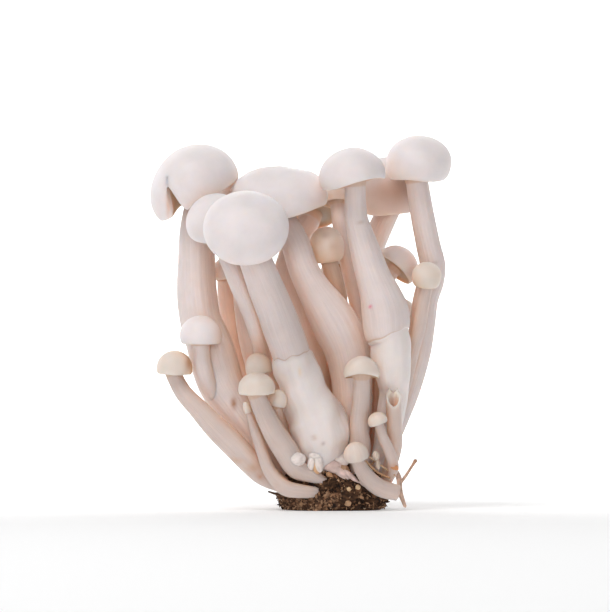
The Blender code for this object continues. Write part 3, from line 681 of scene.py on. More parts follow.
@dataclass(frozen=True)
class Mushroom:
    """One mushroom: a stem, a cap and the side shoots on its stem."""

    name: str
    stem: Stem
    cap: Cap
    tone: Tone = Tone.WHITE
    columns: int = COLUMNS_SMALL
    shoots: tuple["Mushroom", ...] = ()
    marks: tuple[Mark, ...] = ()

    @property
    def seed(self) -> int:
        """A number that is this mushroom's own."""
        return sum((i + 1) * ord(c) for i, c in enumerate(self.name)) % SEED_RANGE

    @property
    def rim_centre(self) -> Array:
        """The middle of the cap's rim."""
        return np.array(self.stem.path[-1][:3])

    def balls(self) -> list[Ball]:
        """The balls that stand for the stem, the cap and the shoots."""
        path, cap = np.array(self.stem.path), self.cap
        knots = lengths(path[:, :3])
        at = np.arange(0, knots[-1], path[:, 3].mean())
        stations = hermite(path, at, knots)
        made = [Ball(tuple(s[:3]), float(s[3]), STEM_WEIGHT) for s in stations]
        middle = self.rim_centre + cap.axis * CAP_BALL_RISE * cap.height
        made.append(Ball(tuple(middle), 0.5 * (cap.radius + CAP_BALL_SHARE * cap.height), 1.0))
        for shoot in self.shoots:
            made += shoot.balls()
        return made

    def skin(self) -> Skin:
        """The whole mushroom as one grid, from the foot up the stem, under the cap and over it."""
        turn = turns(self.columns)
        last = self.stem.path[-1]
        head = self.rim_centre - self.cap.axis * HEAD_SHORT * last[3]
        stem = replace(self.stem, path=self.stem.path[:-1] + ((*head, last[3]),))
        stalk, at, start, torn, sheath = stem.rows(turn, self.seed)
        cap, outside, cut = self.cap.rows(self.rim_centre, last[3], turn, self.seed + 5)
        t = np.arange(1, NECK_ROWS)[:, None, None] / NECK_ROWS
        even = (cap[0] + np.roll(cap[0], 1, axis=0)) / 2
        neck = mixed(stalk[-1], even, t)
        grid = np.vstack([stalk, neck, cap])
        steps = np.linalg.norm(np.diff(grid[len(at) - 1 :], axis=0), axis=2).mean(axis=1)
        along = np.concatenate([at, at[-1] + np.cumsum(steps)])
        zone = np.concatenate([np.zeros(len(at)), np.full(NECK_ROWS - 1, 0.5), 1 + outside])
        skin = Skin(
            grid=grid,
            foot=grid[0].mean(axis=0) - start * FOOT_END,
            crown=self.rim_centre + self.cap.axis * self.cap.height,
            along=along,
            shade=np.zeros_like(grid),
            fibre=np.where(zone < 1, 1.0, np.where(zone < 2, GILL_FIBRE, CAP_FIBRE)),
        )
        skin.fibre[: len(at)] -= SHEATH_SMOOTH * sheath
        edges = np.zeros((len(grid), self.columns))
        edges[: len(at)] = torn[:, None]
        edges[-len(cap) :] = np.maximum(edges[-len(cap) :], cut)
        self.paint(skin, zone, edges, np.append(sheath, np.zeros(len(grid) - len(at))))
        return skin

    def paint(self, skin: Skin, zone: Array, edges: Array, sheath: Array) -> None:
        """Sets the colour of each point: its part's shade, then the foot's stain, painted shade in the gill
        valleys, painted shade and glow in the gaps, torn edges with painted shade in cracks and clefts, and
        marks, some of which are painted shade.

        Args:
            skin: The grid to colour.
            zone: For each row 0 on the stem, 1 under the cap and 2 on the outside of the cap.
            edges: How deep in a cleft or tear each point is.
            sheath: For each row 1 in a torn sheath, or 0.
        """
        shades = SHADES[self.tone]
        # The gills' colour is partly painted shade under the cap.
        parts = np.array([linear(*shade) for shade in (shades.stem, shades.gills, shades.cap)])
        stalk = hermite(parts, zone, np.array([0.0, 1.0, 2.0]))
        stalk = stalk + (linear(*SHEATH_SHADE) - stalk) * sheath[:, None]
        shade = np.repeat(stalk[:, None], self.columns, axis=1)
        height = skin.grid[..., 2]
        streak = FOOT_STAIN_STREAKS * FOOT_STREAKS.over(turns(self.columns), skin.along, self.seed + 9)
        stain = np.clip((FOOT_STAIN_TOP - height) / FOOT_STAIN_FADE + streak, 0, 1)
        stain = (stain * (1 - SHEATH_CLEAN * sheath[:, None]))[..., None]
        shade = mixed(shade, linear(*shades.foot), stain)
        # Painted shade in the valleys between the gills.
        under = (zone == 1)[:, None, None]
        valley = (np.arange(self.columns) % 2)[None, :, None]
        shade = np.where(under, shade * (1 - GILL_VALLEY_PAINTED_SHADE * valley), shade)
        # Painted shade and glow where neighbours hide a point from the light, less on a sheath.
        hidden = PAINTED_SHADE.over(skin) ** PAINTED_SHADE_CURVE * (1 - PAINTED_SHADE_SPARED * sheath[:, None])
        shade = shade * (1 - hidden[..., None] * (1 - np.array(PAINTED_SHADE_AND_GLOW)))
        # Torn flesh, and painted shade in the cracks of tears and inside a cleft.
        edge = TORN_AND_PAINTED_SHADE_STRENGTH * np.clip(edges, 0, 1)[..., None]
        shade = mixed(shade, linear(*TORN_FLESH_AND_PAINTED_SHADE), edge)
        front = np.clip(-skin.normals[..., 1] * MARK_FACING, 0, 1)[..., None]
        for mark in self.marks:
            away = ((skin.grid[..., 0] - mark.x) / mark.across) ** 2
            away = away + ((height - mark.z) / mark.up) ** 2
            share = mark.strength * np.exp(-away)[..., None] * front
            shade = mixed(shade, linear(*mark.colour), share)
        skin.shade = shade

    def build(self, finishes: dict[str, bpy.types.Material]) -> None:
        """Makes the mushroom's object in place of its plain node, and one for each shoot on it.

        Args:
            finishes: A material for each slot.
        """
        finish, slot = finishes[self.tone.slot], self.tone.slot
        thing = self.skin().surface().piece(self.name + "_flesh", finish, slot)
        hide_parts(self.name)
        for shoot in self.shoots:
            shoot.skin().surface().piece(shoot.name + "_flesh", finish, slot)


class Graph:
    """A new material, and the nodes that its colours and relief are made of."""

    def __init__(self, name: str, roughness: float) -> None:
        """Makes the material.

        Args:
            name: Its name.
            roughness: How dull it is.
        """
        self.finish = bpy.data.materials.new(name)
        self.finish.use_nodes = True
        self.nodes, self.links = self.finish.node_tree.nodes, self.finish.node_tree.links
        self.shader = self.nodes["Principled BSDF"]
        self.shader.inputs["Roughness"].default_value = roughness

    def attribute(self, name: str) -> bpy.types.Node:
        """A node that reads one of the mesh's own attributes."""
        node = self.nodes.new("ShaderNodeAttribute")
        node.attribute_name = name
        return node

    def place(self) -> bpy.types.NodeSocket:
        """The place on the object, in metres."""
        return self.nodes.new("ShaderNodeTexCoord").outputs["Object"]

    def noise(self, place: bpy.types.NodeSocket, scale: float, detail: float) -> bpy.types.NodeSocket:
        """A noise of the place.

        Args:
            place: Where the noise is read.
            scale: Cells for each unit of place.
            detail: How many finer layers it has.

        Returns:
            The noise, about 0 to 1.
        """
        node = self.nodes.new("ShaderNodeTexNoise")
        node.inputs["Scale"].default_value = scale
        node.inputs["Detail"].default_value = detail
        self.links.new(place, node.inputs["Vector"])
        return node.outputs["Fac"]

    def spread(
        self, value: bpy.types.NodeSocket, had: tuple[float, float], gets: tuple[float, float]
    ) -> bpy.types.NodeSocket:
        """The value carried from one range to another, and held inside it.

        Args:
            value: The value.
            had: The range that it has.
            gets: The range that it gets.

        Returns:
            The new value.
        """
        node = self.nodes.new("ShaderNodeMapRange")
        for name, number in zip(("From Min", "From Max", "To Min", "To Max"), (*had, *gets)):
            node.inputs[name].default_value = number
        self.links.new(value, node.inputs["Value"])
        return node.outputs["Result"]

    def times(
        self,
        colour: bpy.types.NodeSocket,
        by: bpy.types.NodeSocket,
        share: bpy.types.NodeSocket | None = None,
    ) -> bpy.types.NodeSocket:
        """The colour times a value, in full or by a share.

        Args:
            colour: The colour.
            by: What it is multiplied by.
            share: How much of the product is taken.

        Returns:
            The new colour.
        """
        node = self.nodes.new("ShaderNodeMix")
        node.data_type = "RGBA"
        node.blend_type = "MULTIPLY"
        node.inputs[MIX_SHARE].default_value = 1.0
        if share is not None:
            self.links.new(share, node.inputs[MIX_SHARE])
        for value, socket in zip((colour, by), MIX_COLOURS):
            self.links.new(value, node.inputs[socket])
        return node.outputs[MIX_RESULT]

    def relief(self, height: bpy.types.NodeSocket, distance: float) -> None:
        """Gives the surface a relief.

        Args:
            height: The relief, 0 to 1.
            distance: How deep it is, in metres.
        """
        node = self.nodes.new("ShaderNodeBump")
        node.inputs["Strength"].default_value = RELIEF_STRENGTH
        node.inputs["Distance"].default_value = distance
        self.links.new(height, node.inputs["Height"])
        self.links.new(node.outputs["Normal"], self.shader.inputs["Normal"])


@dataclass(frozen=True)
class Flesh:
    """Translucent mushroom flesh: fine fibres along the stem, faint mottling, soft gloss.

    Details are how many finer layers the fibres, the mottling and the grain have.
    """

    name: str
    roughness: float = 0.46
    specular: float = 0.42
    scatter: float = 0.8
    scatter_depth: float = 0.0023
    scatter_colour: Colour = (1.0, 0.76, 0.6)
    fibre_scale: tuple[float, float, float] = (14.0, 14.0, 0.1)
    fibre_contrast: float = 0.08
    mottle_scale: float = 190.0
    mottle_contrast: float = 0.07
    grain_scale: float = 850.0
    grain_share: float = 0.35
    details: tuple[float, float, float] = (3.0, 4.0, 2.0)
    noise_range: tuple[float, float] = (0.3, 0.7)
    bump: float = 0.0002

    def material(self) -> bpy.types.Material:
        """The material: the painted colour, times fibres and mottling, on a scattering surface."""
        graph = Graph(self.name, self.roughness)
        nodes, links, shader = graph.nodes, graph.links, graph.shader
        shader.inputs["Specular IOR Level"].default_value = self.specular
        shader.inputs["Subsurface Weight"].default_value = self.scatter
        shader.inputs["Subsurface Radius"].default_value = self.scatter_colour
        shader.inputs["Subsurface Scale"].default_value = self.scatter_depth
        fibrous = graph.attribute("fibre").outputs["Fac"]
        stretch = nodes.new("ShaderNodeMapping")
        stretch.inputs["Scale"].default_value = self.fibre_scale
        links.new(graph.attribute("grain").outputs["Vector"], stretch.inputs["Vector"])
        place = graph.place()
        fibres = graph.noise(stretch.outputs["Vector"], 1.0, self.details[0])
        mottle = graph.noise(place, self.mottle_scale, self.details[1])
        grain = graph.noise(place, self.grain_scale, self.details[2])
        streak = graph.spread(fibres, self.noise_range, (1 - self.fibre_contrast, 1.0))
        patch = graph.spread(mottle, self.noise_range, (1 - self.mottle_contrast, 1.0))
        colour = graph.times(graph.attribute("flesh").outputs["Color"], streak, fibrous)
        links.new(graph.times(colour, patch), shader.inputs["Base Color"])
        height = nodes.new("ShaderNodeMath")
        height.operation = "MULTIPLY_ADD"
        links.new(fibres, height.inputs[0])
        links.new(fibrous, height.inputs[1])
        links.new(graph.spread(grain, (0.0, 1.0), (0.0, self.grain_share)), height.inputs[2])
        graph.relief(height.outputs[0], self.bump)
        return graph.finish


@dataclass(frozen=True)
class Crumb:
    """Damp sawdust and bran, or a dry fibrous thread: the painted colour, roughened and mottled."""

    name: str
    roughness: float = 0.88
    specular: float = 0.25
    low: float = 0.55
    high: float = 1.25
    scale: float = 900.0
    detail: float = 5.0
    noise_range: tuple[float, float] = (0.32, 0.68)
    bump: float = 0.0003

    def material(self) -> bpy.types.Material:
        """The material: the painted colour times a coarse noise, with the same noise as relief."""
        graph = Graph(self.name, self.roughness)
        graph.shader.inputs["Specular IOR Level"].default_value = self.specular
        grit = graph.noise(graph.place(), self.scale, self.detail)
        speckles = graph.spread(grit, self.noise_range, (self.low, self.high))
        colour = graph.times(graph.attribute("flesh").outputs["Color"], speckles)
        graph.links.new(colour, graph.shader.inputs["Base Color"])
        graph.relief(grit, self.bump)
        return graph.finish


@dataclass(frozen=True)
class Tube:
    """A closed tube along points, such as a thread. Its radii are thin times those of the points."""

    path: Path
    columns: int
    colour: Colour
    tip_colour: Colour
    seed: int
    thin: float = 1.0
    end: float = 0.6
    fluting: float = 0.12
    ridges: float = 0.04
    streaks: float = 0.12

    def skin(self) -> Skin:
        """The tube as a closed grid: a ring at each step of the path, and blunt ends."""
        turn = turns(self.columns)
        path = tuple((x, y, z, self.thin * radius) for x, y, z, radius in self.path)
        stem = Stem(path, fluting=self.fluting, ridges=self.ridges)
        grid, at, start, *_ = stem.rows(turn, self.seed)
        last = self.path[-1]
        way = np.array(last[:3]) - np.array(self.path[-2][:3])
        shade = mixed(linear(*self.colour), linear(*self.tip_colour), (at / at[-1])[:, None, None])
        streak = 1 + self.streaks * THREAD_STREAKS.over(turn, at, self.seed + 3)[..., None]
        return Skin(
            grid=grid,
            foot=grid[0].mean(axis=0) - start * FOOT_END,
            crown=np.array(last[:3]) + way / np.linalg.norm(way) * self.end * last[3],
            along=at,
            shade=shade * streak,
            fibre=np.ones(len(at)),
        )


@dataclass(frozen=True)
class BrokenStub:
    """A stem that lost its cap: its top is torn to a slanting, jagged rim round a hollow.

    rim is the height of the tear at even steps round it, from the front to the right. It bends the
    stem's top over reach, and jags ripple it. Inside, the rows run from a share wall of the stem's
    radius, drop below the rim, to a share floor of it, hollow below the rim. edge_rows and
    edge_pale are the width and strength of the rim's pale edge.
    """

    stem: Stem
    rim: tuple[float, ...] = (0.4, 1.3, 3.1, 2.6, 4.1, 3.3, 4.3, 2.8, 3.3, 1.5)
    reach: float = 6.0
    jags: float = 0.13
    wall: float = 0.78
    floor: float = 0.12
    floor_curve: float = 1.5
    drop: float = 0.35
    hollow: float = 0.6
    columns: int = 80
    inner_rows: int = 9
    inner_step: float = 0.4
    shade_curve: float = 0.8
    edge_rows: float = 1.6
    edge_pale: float = 0.7
    seed: int = 311

    def build(self, finish: bpy.types.Material) -> None:
        """Makes the stub: its stem, bent to the rim's height near its top, then the hollow inside.

        A point of the stem rises by rim(turn) * t ** 2, with t from 0 at reach below the top to 1.

        Args:
            finish: The flesh.
        """
        turn = turns(self.columns)
        stalk, at, start, *_ = self.stem.rows(turn, self.seed)
        centre = np.array(self.stem.path[-1][:3])
        up = centre - np.array(self.stem.path[-2][:3])
        up /= np.linalg.norm(up)
        steps = turns(len(self.rim))
        rise = np.interp(turn, np.append(steps, 2 * math.pi), self.rim + self.rim[:1])
        rise = rise + self.jags * STUB_JAGS.over(turn, np.zeros(1), self.seed)[0]
        near = np.clip((at - at[-1] + self.reach) / self.reach, 0, 1) ** 2
        stalk = stalk + (near[:, None] * rise)[:, :, None] * up
        t = np.linspace(0, 1, self.inner_rows + 1)[1:, None, None]
        out = stalk[-1] - (centre + rise[:, None] * up)
        inner = centre + out * (self.wall + (self.floor - self.wall) * t**self.floor_curve)
        inner = inner + up * (rise[None, :, None] * (1 - t) - (self.drop + (self.hollow - self.drop) * t))
        grid = np.vstack([stalk, inner])
        skin = Skin(
            grid=grid,
            foot=grid[0].mean(axis=0) - start * FOOT_END,
            crown=centre - up * self.hollow,
            along=np.concatenate([at, at[-1] + self.inner_step * np.arange(1, self.inner_rows + 1)]),
            shade=np.zeros_like(grid),
            fibre=np.ones(len(grid)),
        )
        past = (np.arange(len(grid)) - len(at))[:, None, None]
        inside = np.clip((past - 1) / self.inner_rows, 0, 1) ** self.shade_curve
        edge = np.exp(-((past / self.edge_rows) ** 2))
        # The hollow darkens towards its floor, as painted shade.
        shade = mixed(linear(*STUB_SHADE), linear(*STUB_HOLLOW_PAINTED_SHADE), inside)
        shade = np.repeat(mixed(shade, linear(*STUB_TIP), self.edge_pale * edge), self.columns, axis=1)
        # Painted shade and glow where neighbours hide the stub, less at the rim's edge.
        hidden = PAINTED_SHADE.over(skin)[..., None] * (1 - PAINTED_SHADE_SPARED * edge)
        skin.shade = shade * (1 - hidden * (1 - np.array(PAINTED_SHADE_AND_GLOW)))
        thing = skin.surface().piece("broken_stub_flesh", finish, Tone.WHITE.slot)
        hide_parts("broken_stub")


@dataclass(frozen=True)
class Lump:
    """A small knob: an ellipsoid with its radii across, deep and up, unevenly rippled.

    tip turns it about the front-to-back line, in degrees.
    """

    centre: Point
    radii: Point
    colour: Colour
    tip: float
    unevenness: float
    columns: int = 28
    rings: int = 14
    streaks: float = 0.1
    fibre: float = 0.4

    @property
    def seed(self) -> int:
        """A number that follows from the knob's place."""
        wide, high, least = KNOB_SEED
        return int(abs(wide * self.centre[0] + high * self.centre[2])) + least

    def skin(self) -> Skin:
        """The knob as a closed grid: (sin(t) * cos(turn), sin(t) * sin(turn), -cos(t)) times the radii."""
        turn = turns(self.columns)
        t = math.pi * np.arange(1, self.rings) / self.rings
        size = 1 + self.unevenness * SCRAP_LUMPS.over(turn, t, self.seed)
        out = np.sin(t)[:, None] * size
        up = np.repeat(-np.cos(t)[:, None], len(turn), 1)
        place = np.stack([out * np.cos(turn), out * np.sin(turn), up], axis=2)
        sine, cosine = math.sin(math.radians(self.tip)), math.cos(math.radians(self.tip))
        turned = np.array([[cosine, 0, sine], [0, 1, 0], [-sine, 0, cosine]])
        centre, radii = np.array(self.centre), np.array(self.radii)
        pole = turned @ (radii * np.array([0.0, 0.0, 1.0]))
        streak = 1 + self.streaks * SCRAP_STREAKS.over(turn, t, self.seed + 1)[..., None]
        return Skin(
            grid=centre + (place * radii) @ turned.T,
            foot=centre - pole,
            crown=centre + pole,
            along=t * radii[2],
            shade=linear(*self.colour) * streak,
            fibre=np.full(len(t), self.fibre),
        )


@dataclass(frozen=True)
class Scraps:
    """Torn bits of flesh and thread about the feet, as one object."""

    name: str
    slot: str
    parts: tuple[Lump | Tube, ...]

    def build(self, finishes: dict[str, bpy.types.Material]) -> None:
        """Makes the object from its knobs and threads.

        Args:
            finishes: The materials.
        """
        surface = joined([part.skin().surface() for part in self.parts])
        finish = finishes["root_thread" if self.slot == "root_thread" else "torn_flesh"]
        surface.piece(self.name, finish, self.slot)


@dataclass(frozen=True)
class RootThread:
    """The thick pale thread of fungus low on the right, with a short branch."""

    main: Tube
    branch: Tube

    def build(self, finish: bpy.types.Material) -> None:
        """Makes the thread and its branch as one object in place of the plain node.

        Args:
            finish: The dry thread's material.
        """
        surface = joined([self.main.skin().surface(), self.branch.skin().surface()])
        thing = surface.piece("root_thread_fibre", finish, "root_thread")
        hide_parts("root_thread")


@dataclass(frozen=True)
class Substrate:
    """The block of growing medium: a crumbly mound over a flat underside, and loose bits on it.

    side is the mound's profile, as shares of its outline and heights. Lumps are rough high, with
    grit on them, and start above the underside. Near the top they push upwards, top_swell as far.
    under_rings are the first, the last and the number of the rings under the block.
    """

    half_width: float = 13.2
    half_depth: float = 13.6
    centre: tuple[float, float] = (-0.6, 0.8)
    top: float = 11.4
    corner: float = 2.8
    lobes: tuple[tuple[int, float, float], ...] = ((3, 0.02, 0.6), (5, 0.015, 2.0))
    side: tuple[tuple[float, float], ...] = (
        (0.92, 0.0), (0.97, 1.3), (1.0, 3.2), (1.0, 5.4),
        (0.95, 7.4), (0.84, 9.2), (0.66, 10.4), (0.36, 11.0),
    )
    side_length: float = 30.0
    columns: int = 240
    side_rows: int = 70
    under_rings: tuple[float, float, int] = (0.15, 0.95, 6)
    rough: float = 0.42
    grit: float = 0.6
    rough_start: float = 14.0
    top_share: float = 0.35
    top_swell: float = 1.4
    pale_share: float = 0.3
    pale_contrast: float = 0.4
    patch_step: float = 0.5
    seed: int = 7

    def outline(self, turn: Array) -> Array:
        """The block's reach at each angle: (|sin|**n + |cos|**n) ** (-1/n), with a few low lobes."""
        n = self.corner
        square = (np.abs(np.sin(turn)) ** n + np.abs(np.cos(turn)) ** n) ** (-1 / n)
        return square * (1 + sum(share * np.cos(lobes * turn + start) for lobes, share, start in self.lobes))

    def places(self, turn: Array, step: Array, swell: Array) -> Array:
        """Points of the mound: the outline times the side's profile, pushed out by swell.

        Args:
            turn: Angles round the block.
            step: Place up the side's profile, 0 at the underside and 1 at the top ring.
            swell: How far each point is pushed outwards and, near the top, upwards.

        Returns:
            One point for each angle, step and swell.
        """
        profile = hermite(np.array(self.side), step, np.linspace(0, 1, len(self.side)), bounded=True)
        share, height = profile[:, 0], profile[:, 1]
        steep = np.clip(share, self.top_share, 1)
        wide = share * self.outline(turn) + swell * steep / self.half_width
        return np.column_stack(
            [
                self.centre[0] + self.half_width * wide * np.sin(turn),
                self.centre[1] - self.half_depth * wide * np.cos(turn),
                np.maximum(height + swell * (1 - steep) * self.top_swell, 0.0) * (height > 0),
            ]
        )

    def build(self, finish: bpy.types.Material) -> None:
        """Makes the mound: rings from the middle of the underside, up the side and to the top.

        Args:
            finish: The medium's material.
        """
        turn = turns(self.columns)
        step = np.linspace(0, 1, self.side_rows)
        along = self.side_length * step
        lumps = MEDIUM_LUMPS.over(turn, along, self.seed)
        lumps = self.rough * (lumps + self.grit * MEDIUM_GRIT.over(turn, along, self.seed + 1))
        lumps = lumps * np.clip(step * self.rough_start, 0, 1)[:, None]
        grid = self.places(
            np.tile(turn, self.side_rows), np.repeat(step, self.columns), lumps.reshape(-1)
        ).reshape(self.side_rows, self.columns, 3)
        inner = np.linspace(*self.under_rings)[:, None, None]
        middle = np.array([*self.centre, 0.0])
        grid = np.vstack([middle + (grid[:1] - middle) * inner, grid])
        patches = MEDIUM_PATCHES.over(turn, self.patch_step * np.arange(len(grid)), self.seed + 2)
        share = np.clip(self.pale_share + self.pale_contrast * patches, 0, 1)
        dark, pale = linear(*MEDIUM_DARK), linear(*MEDIUM_PALE)
        skin = Skin(
            grid=grid,
            foot=middle,
            crown=np.array([*self.centre, self.top]),
            along=np.arange(len(grid), dtype=float),
            shade=dark + (pale - dark) * share[..., None],
            fibre=np.zeros(len(grid)),
        )
        thing = skin.surface().piece("substrate_mound", finish, "growing_medium")
        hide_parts("substrate")


@dataclass(frozen=True)
class Bits:
    """Loose bits of the medium that stick to the mound, each a jittered icosahedron.

    size is the range of their lengths, and slim that of their other sizes as shares of it. step and
    turn are the stretch of the mound that they are on, and lift is how far out they sit.
    """

    name: str
    count: int
    size: tuple[float, float]
    slim: tuple[float, float]
    colours: tuple[Colour, ...]
    step: tuple[float, float] = (0.06, 1.0)
    turn: tuple[float, float] = (0.0, 2 * math.pi)
    lift: float = 0.1
    seed: int = 21
    jitter: tuple[float, float] = (0.75, 1.2)
    tint: tuple[float, float] = (0.7, 1.2)
    floor_gap: float = 0.02

    def build(self, mound: Substrate, finish: bpy.types.Material) -> None:
        """Scatters the bits as one object: corner = place + turn matrix * (size * jittered corner).

        Args:
            mound: The mound that carries them.
            finish: Their material.
        """
        random = np.random.default_rng(self.seed)
        n, corners = self.count, np.array(CRUMB_CORNERS)
        turn = random.uniform(*self.turn, n)
        step = random.uniform(*self.step, n)
        place = mound.places(turn, step, np.full(n, self.lift))
        length = random.uniform(*self.size, n)
        deep, high = length * random.uniform(*self.slim, n), length * random.uniform(*self.slim, n)
        scale = np.column_stack([length, deep, high])
        corner = corners * 0.5 / np.linalg.norm(corners[0])
        shape = corner[None] * scale[:, None] * random.uniform(*self.jitter, (n, len(corners), 3))
        quaternion = random.normal(size=(n, 4))
        w, x, y, z = (quaternion / np.linalg.norm(quaternion, axis=1, keepdims=True)).T
        matrix = np.array(
            [
                [1 - 2 * (y * y + z * z), 2 * (x * y - z * w), 2 * (x * z + y * w)],
                [2 * (x * y + z * w), 1 - 2 * (x * x + z * z), 2 * (y * z - x * w)],
                [2 * (x * z - y * w), 2 * (y * z + x * w), 1 - 2 * (x * x + y * y)],
            ]
        )
        points = np.einsum("ijn,nkj->nki", matrix, shape) + place[:, None]
        points[..., 2] = np.maximum(points[..., 2], self.floor_gap)
        picked = np.array([linear(*c) for c in self.colours])[random.integers(0, len(self.colours), n)]
        picked = picked * random.uniform(*self.tint, (n, 1))
        faces = np.array(CRUMB_FACES).reshape(-1)[None] + len(corners) * np.arange(n)[:, None]
        Surface(
            points=points.reshape(-1, 3),
            sizes=np.full(len(CRUMB_FACES) * n, 3),
            corners=faces.reshape(-1),
            shades=np.repeat(picked, len(corners), axis=0),
            grain=points.reshape(-1, 3),
            fibre=np.zeros(len(corners) * n),
            smooth=False,
        ).piece(self.name, finish, "growing_medium")


@dataclass(frozen=True)
class Lamp:
    """A soft square light that faces the clump: its place and width in metres, and its watts."""

    name: str
    place: Point
    size: float
    power: float
    aim: Point = (-0.008, 0.0, 0.05)

    def build(self) -> None:
        """Adds the light."""
        lamp = bpy.data.lights.new(self.name, "AREA")
        lamp.shape = "SQUARE"
        lamp.size = self.size
        lamp.energy = self.power
        holder = bpy.data.objects.new(self.name, lamp)
        holder.location = self.place
        way = np.array(self.place) - np.array(self.aim)
        tilt = math.acos(way[2] / np.linalg.norm(way))
        holder.rotation_euler = (tilt, 0.0, math.atan2(way[0], -way[1]))
        bpy.context.scene.collection.objects.link(holder)


@dataclass(frozen=True)
class Studio:
    """The pale floor and backdrop, the soft lights and the camera.

    view_middle, view_width, focus_depth and distance are in millimetres, and the other lengths in
    metres. floor_end is how far the floor goes to the front and the sides, and the backdrop up. The
    floor bends up behind bend_start, in a quarter circle of bend_radius. Its glow grows from the
    first number to the second over glow_reach.
    """

    view_middle: tuple[float, float] = (-7.5, 50.75)
    view_width: float = 152.5
    focus_depth: float = -3.0
    distance: float = 1500.0
    sensor: float = 36.0
    sight: float = 20.0
    floor_end: float = 3.0
    bend_start: float = 0.9
    bend_radius: float = 0.5
    bend_rows: int = 24
    floor_shade: float = 0.78
    floor_roughness: float = 0.9
    glow: tuple[float, float] = (0.14, 1.25)
    glow_reach: tuple[float, float] = (-0.1, 0.9)
    sky: float = 0.16
    lamps: tuple[Lamp, ...] = (
        Lamp("key_light", (-0.34, -0.46, 1.0), 0.5, 6.4),
        Lamp("front_light", (-0.06, -1.7, 0.14), 0.8, 10.6),
    )

    def paper(self) -> bpy.types.Material:
        """The floor's white paper, which glows more, the further back it is."""
        graph = Graph("studio_paper", self.floor_roughness)
        graph.shader.inputs["Base Color"].default_value = (*[self.floor_shade] * 3, 1.0)
        graph.shader.inputs["Emission Color"].default_value = (1.0, 1.0, 1.0, 1.0)
        axes = graph.nodes.new("ShaderNodeSeparateXYZ")
        graph.links.new(graph.place(), axes.inputs[0])
        glow = graph.spread(axes.outputs["Y"], self.glow_reach, self.glow)
        graph.links.new(glow, graph.shader.inputs["Emission Strength"])
        return graph.finish

    def stage(self) -> None:
        """Makes the floor, which sweeps up into a backdrop."""
        bend = np.linspace(0, math.pi / 2, self.bend_rows)
        end, start, radius = self.floor_end, self.bend_start, self.bend_radius
        y = np.concatenate([[-end], start + radius * np.sin(bend), [start + radius]])
        z = np.concatenate([[0.0], radius - radius * np.cos(bend), [end]])
        x = np.array([-end, end])
        points = np.stack([np.tile(x, (len(y), 1)), np.tile(y[:, None], 2), np.tile(z[:, None], 2)], axis=2)
        first = 2 * np.arange(len(y) - 1)
        faces = np.column_stack([first, first + 1, first + 3, first + 2])
        mesh = bpy.data.meshes.new("studio_floor")
        mesh.from_pydata(points.reshape(-1, 3).tolist(), [], faces.tolist())
        mesh.shade_smooth()
        mesh.materials.append(self.paper())
        floor = bpy.data.objects.new("studio_floor", mesh)
        bpy.context.scene.collection.objects.link(floor)

    def camera(self) -> None:
        """Puts the camera level with the middle of the picture, far in front of the clump."""
        eye = bpy.data.cameras.new("camera")
        eye.sensor_width = self.sensor
        eye.lens = self.sensor * self.distance / self.view_width
        eye.clip_end = self.sight
        holder = bpy.data.objects.new("camera", eye)
        x, z = self.view_middle
        holder.location = (x * MM, (self.focus_depth - self.distance) * MM, z * MM)
        holder.rotation_euler = (math.pi / 2, 0.0, 0.0)
        bpy.context.scene.collection.objects.link(holder)
        bpy.context.scene.camera = holder

    def build(self) -> None:
        """Makes the stage, the lights, the sky and the camera, with colours shown as they are."""
        bpy.context.scene.view_settings.view_transform = "Standard"
        self.stage()
        self.camera()
        for lamp in self.lamps:
            lamp.build()
        world = bpy.data.worlds.new("sky")
        world.use_nodes = True
        world.node_tree.nodes["Background"].inputs["Color"].default_value = (1.0, 1.0, 1.0, 1.0)
        world.node_tree.nodes["Background"].inputs["Strength"].default_value = self.sky
        bpy.context.scene.world = world
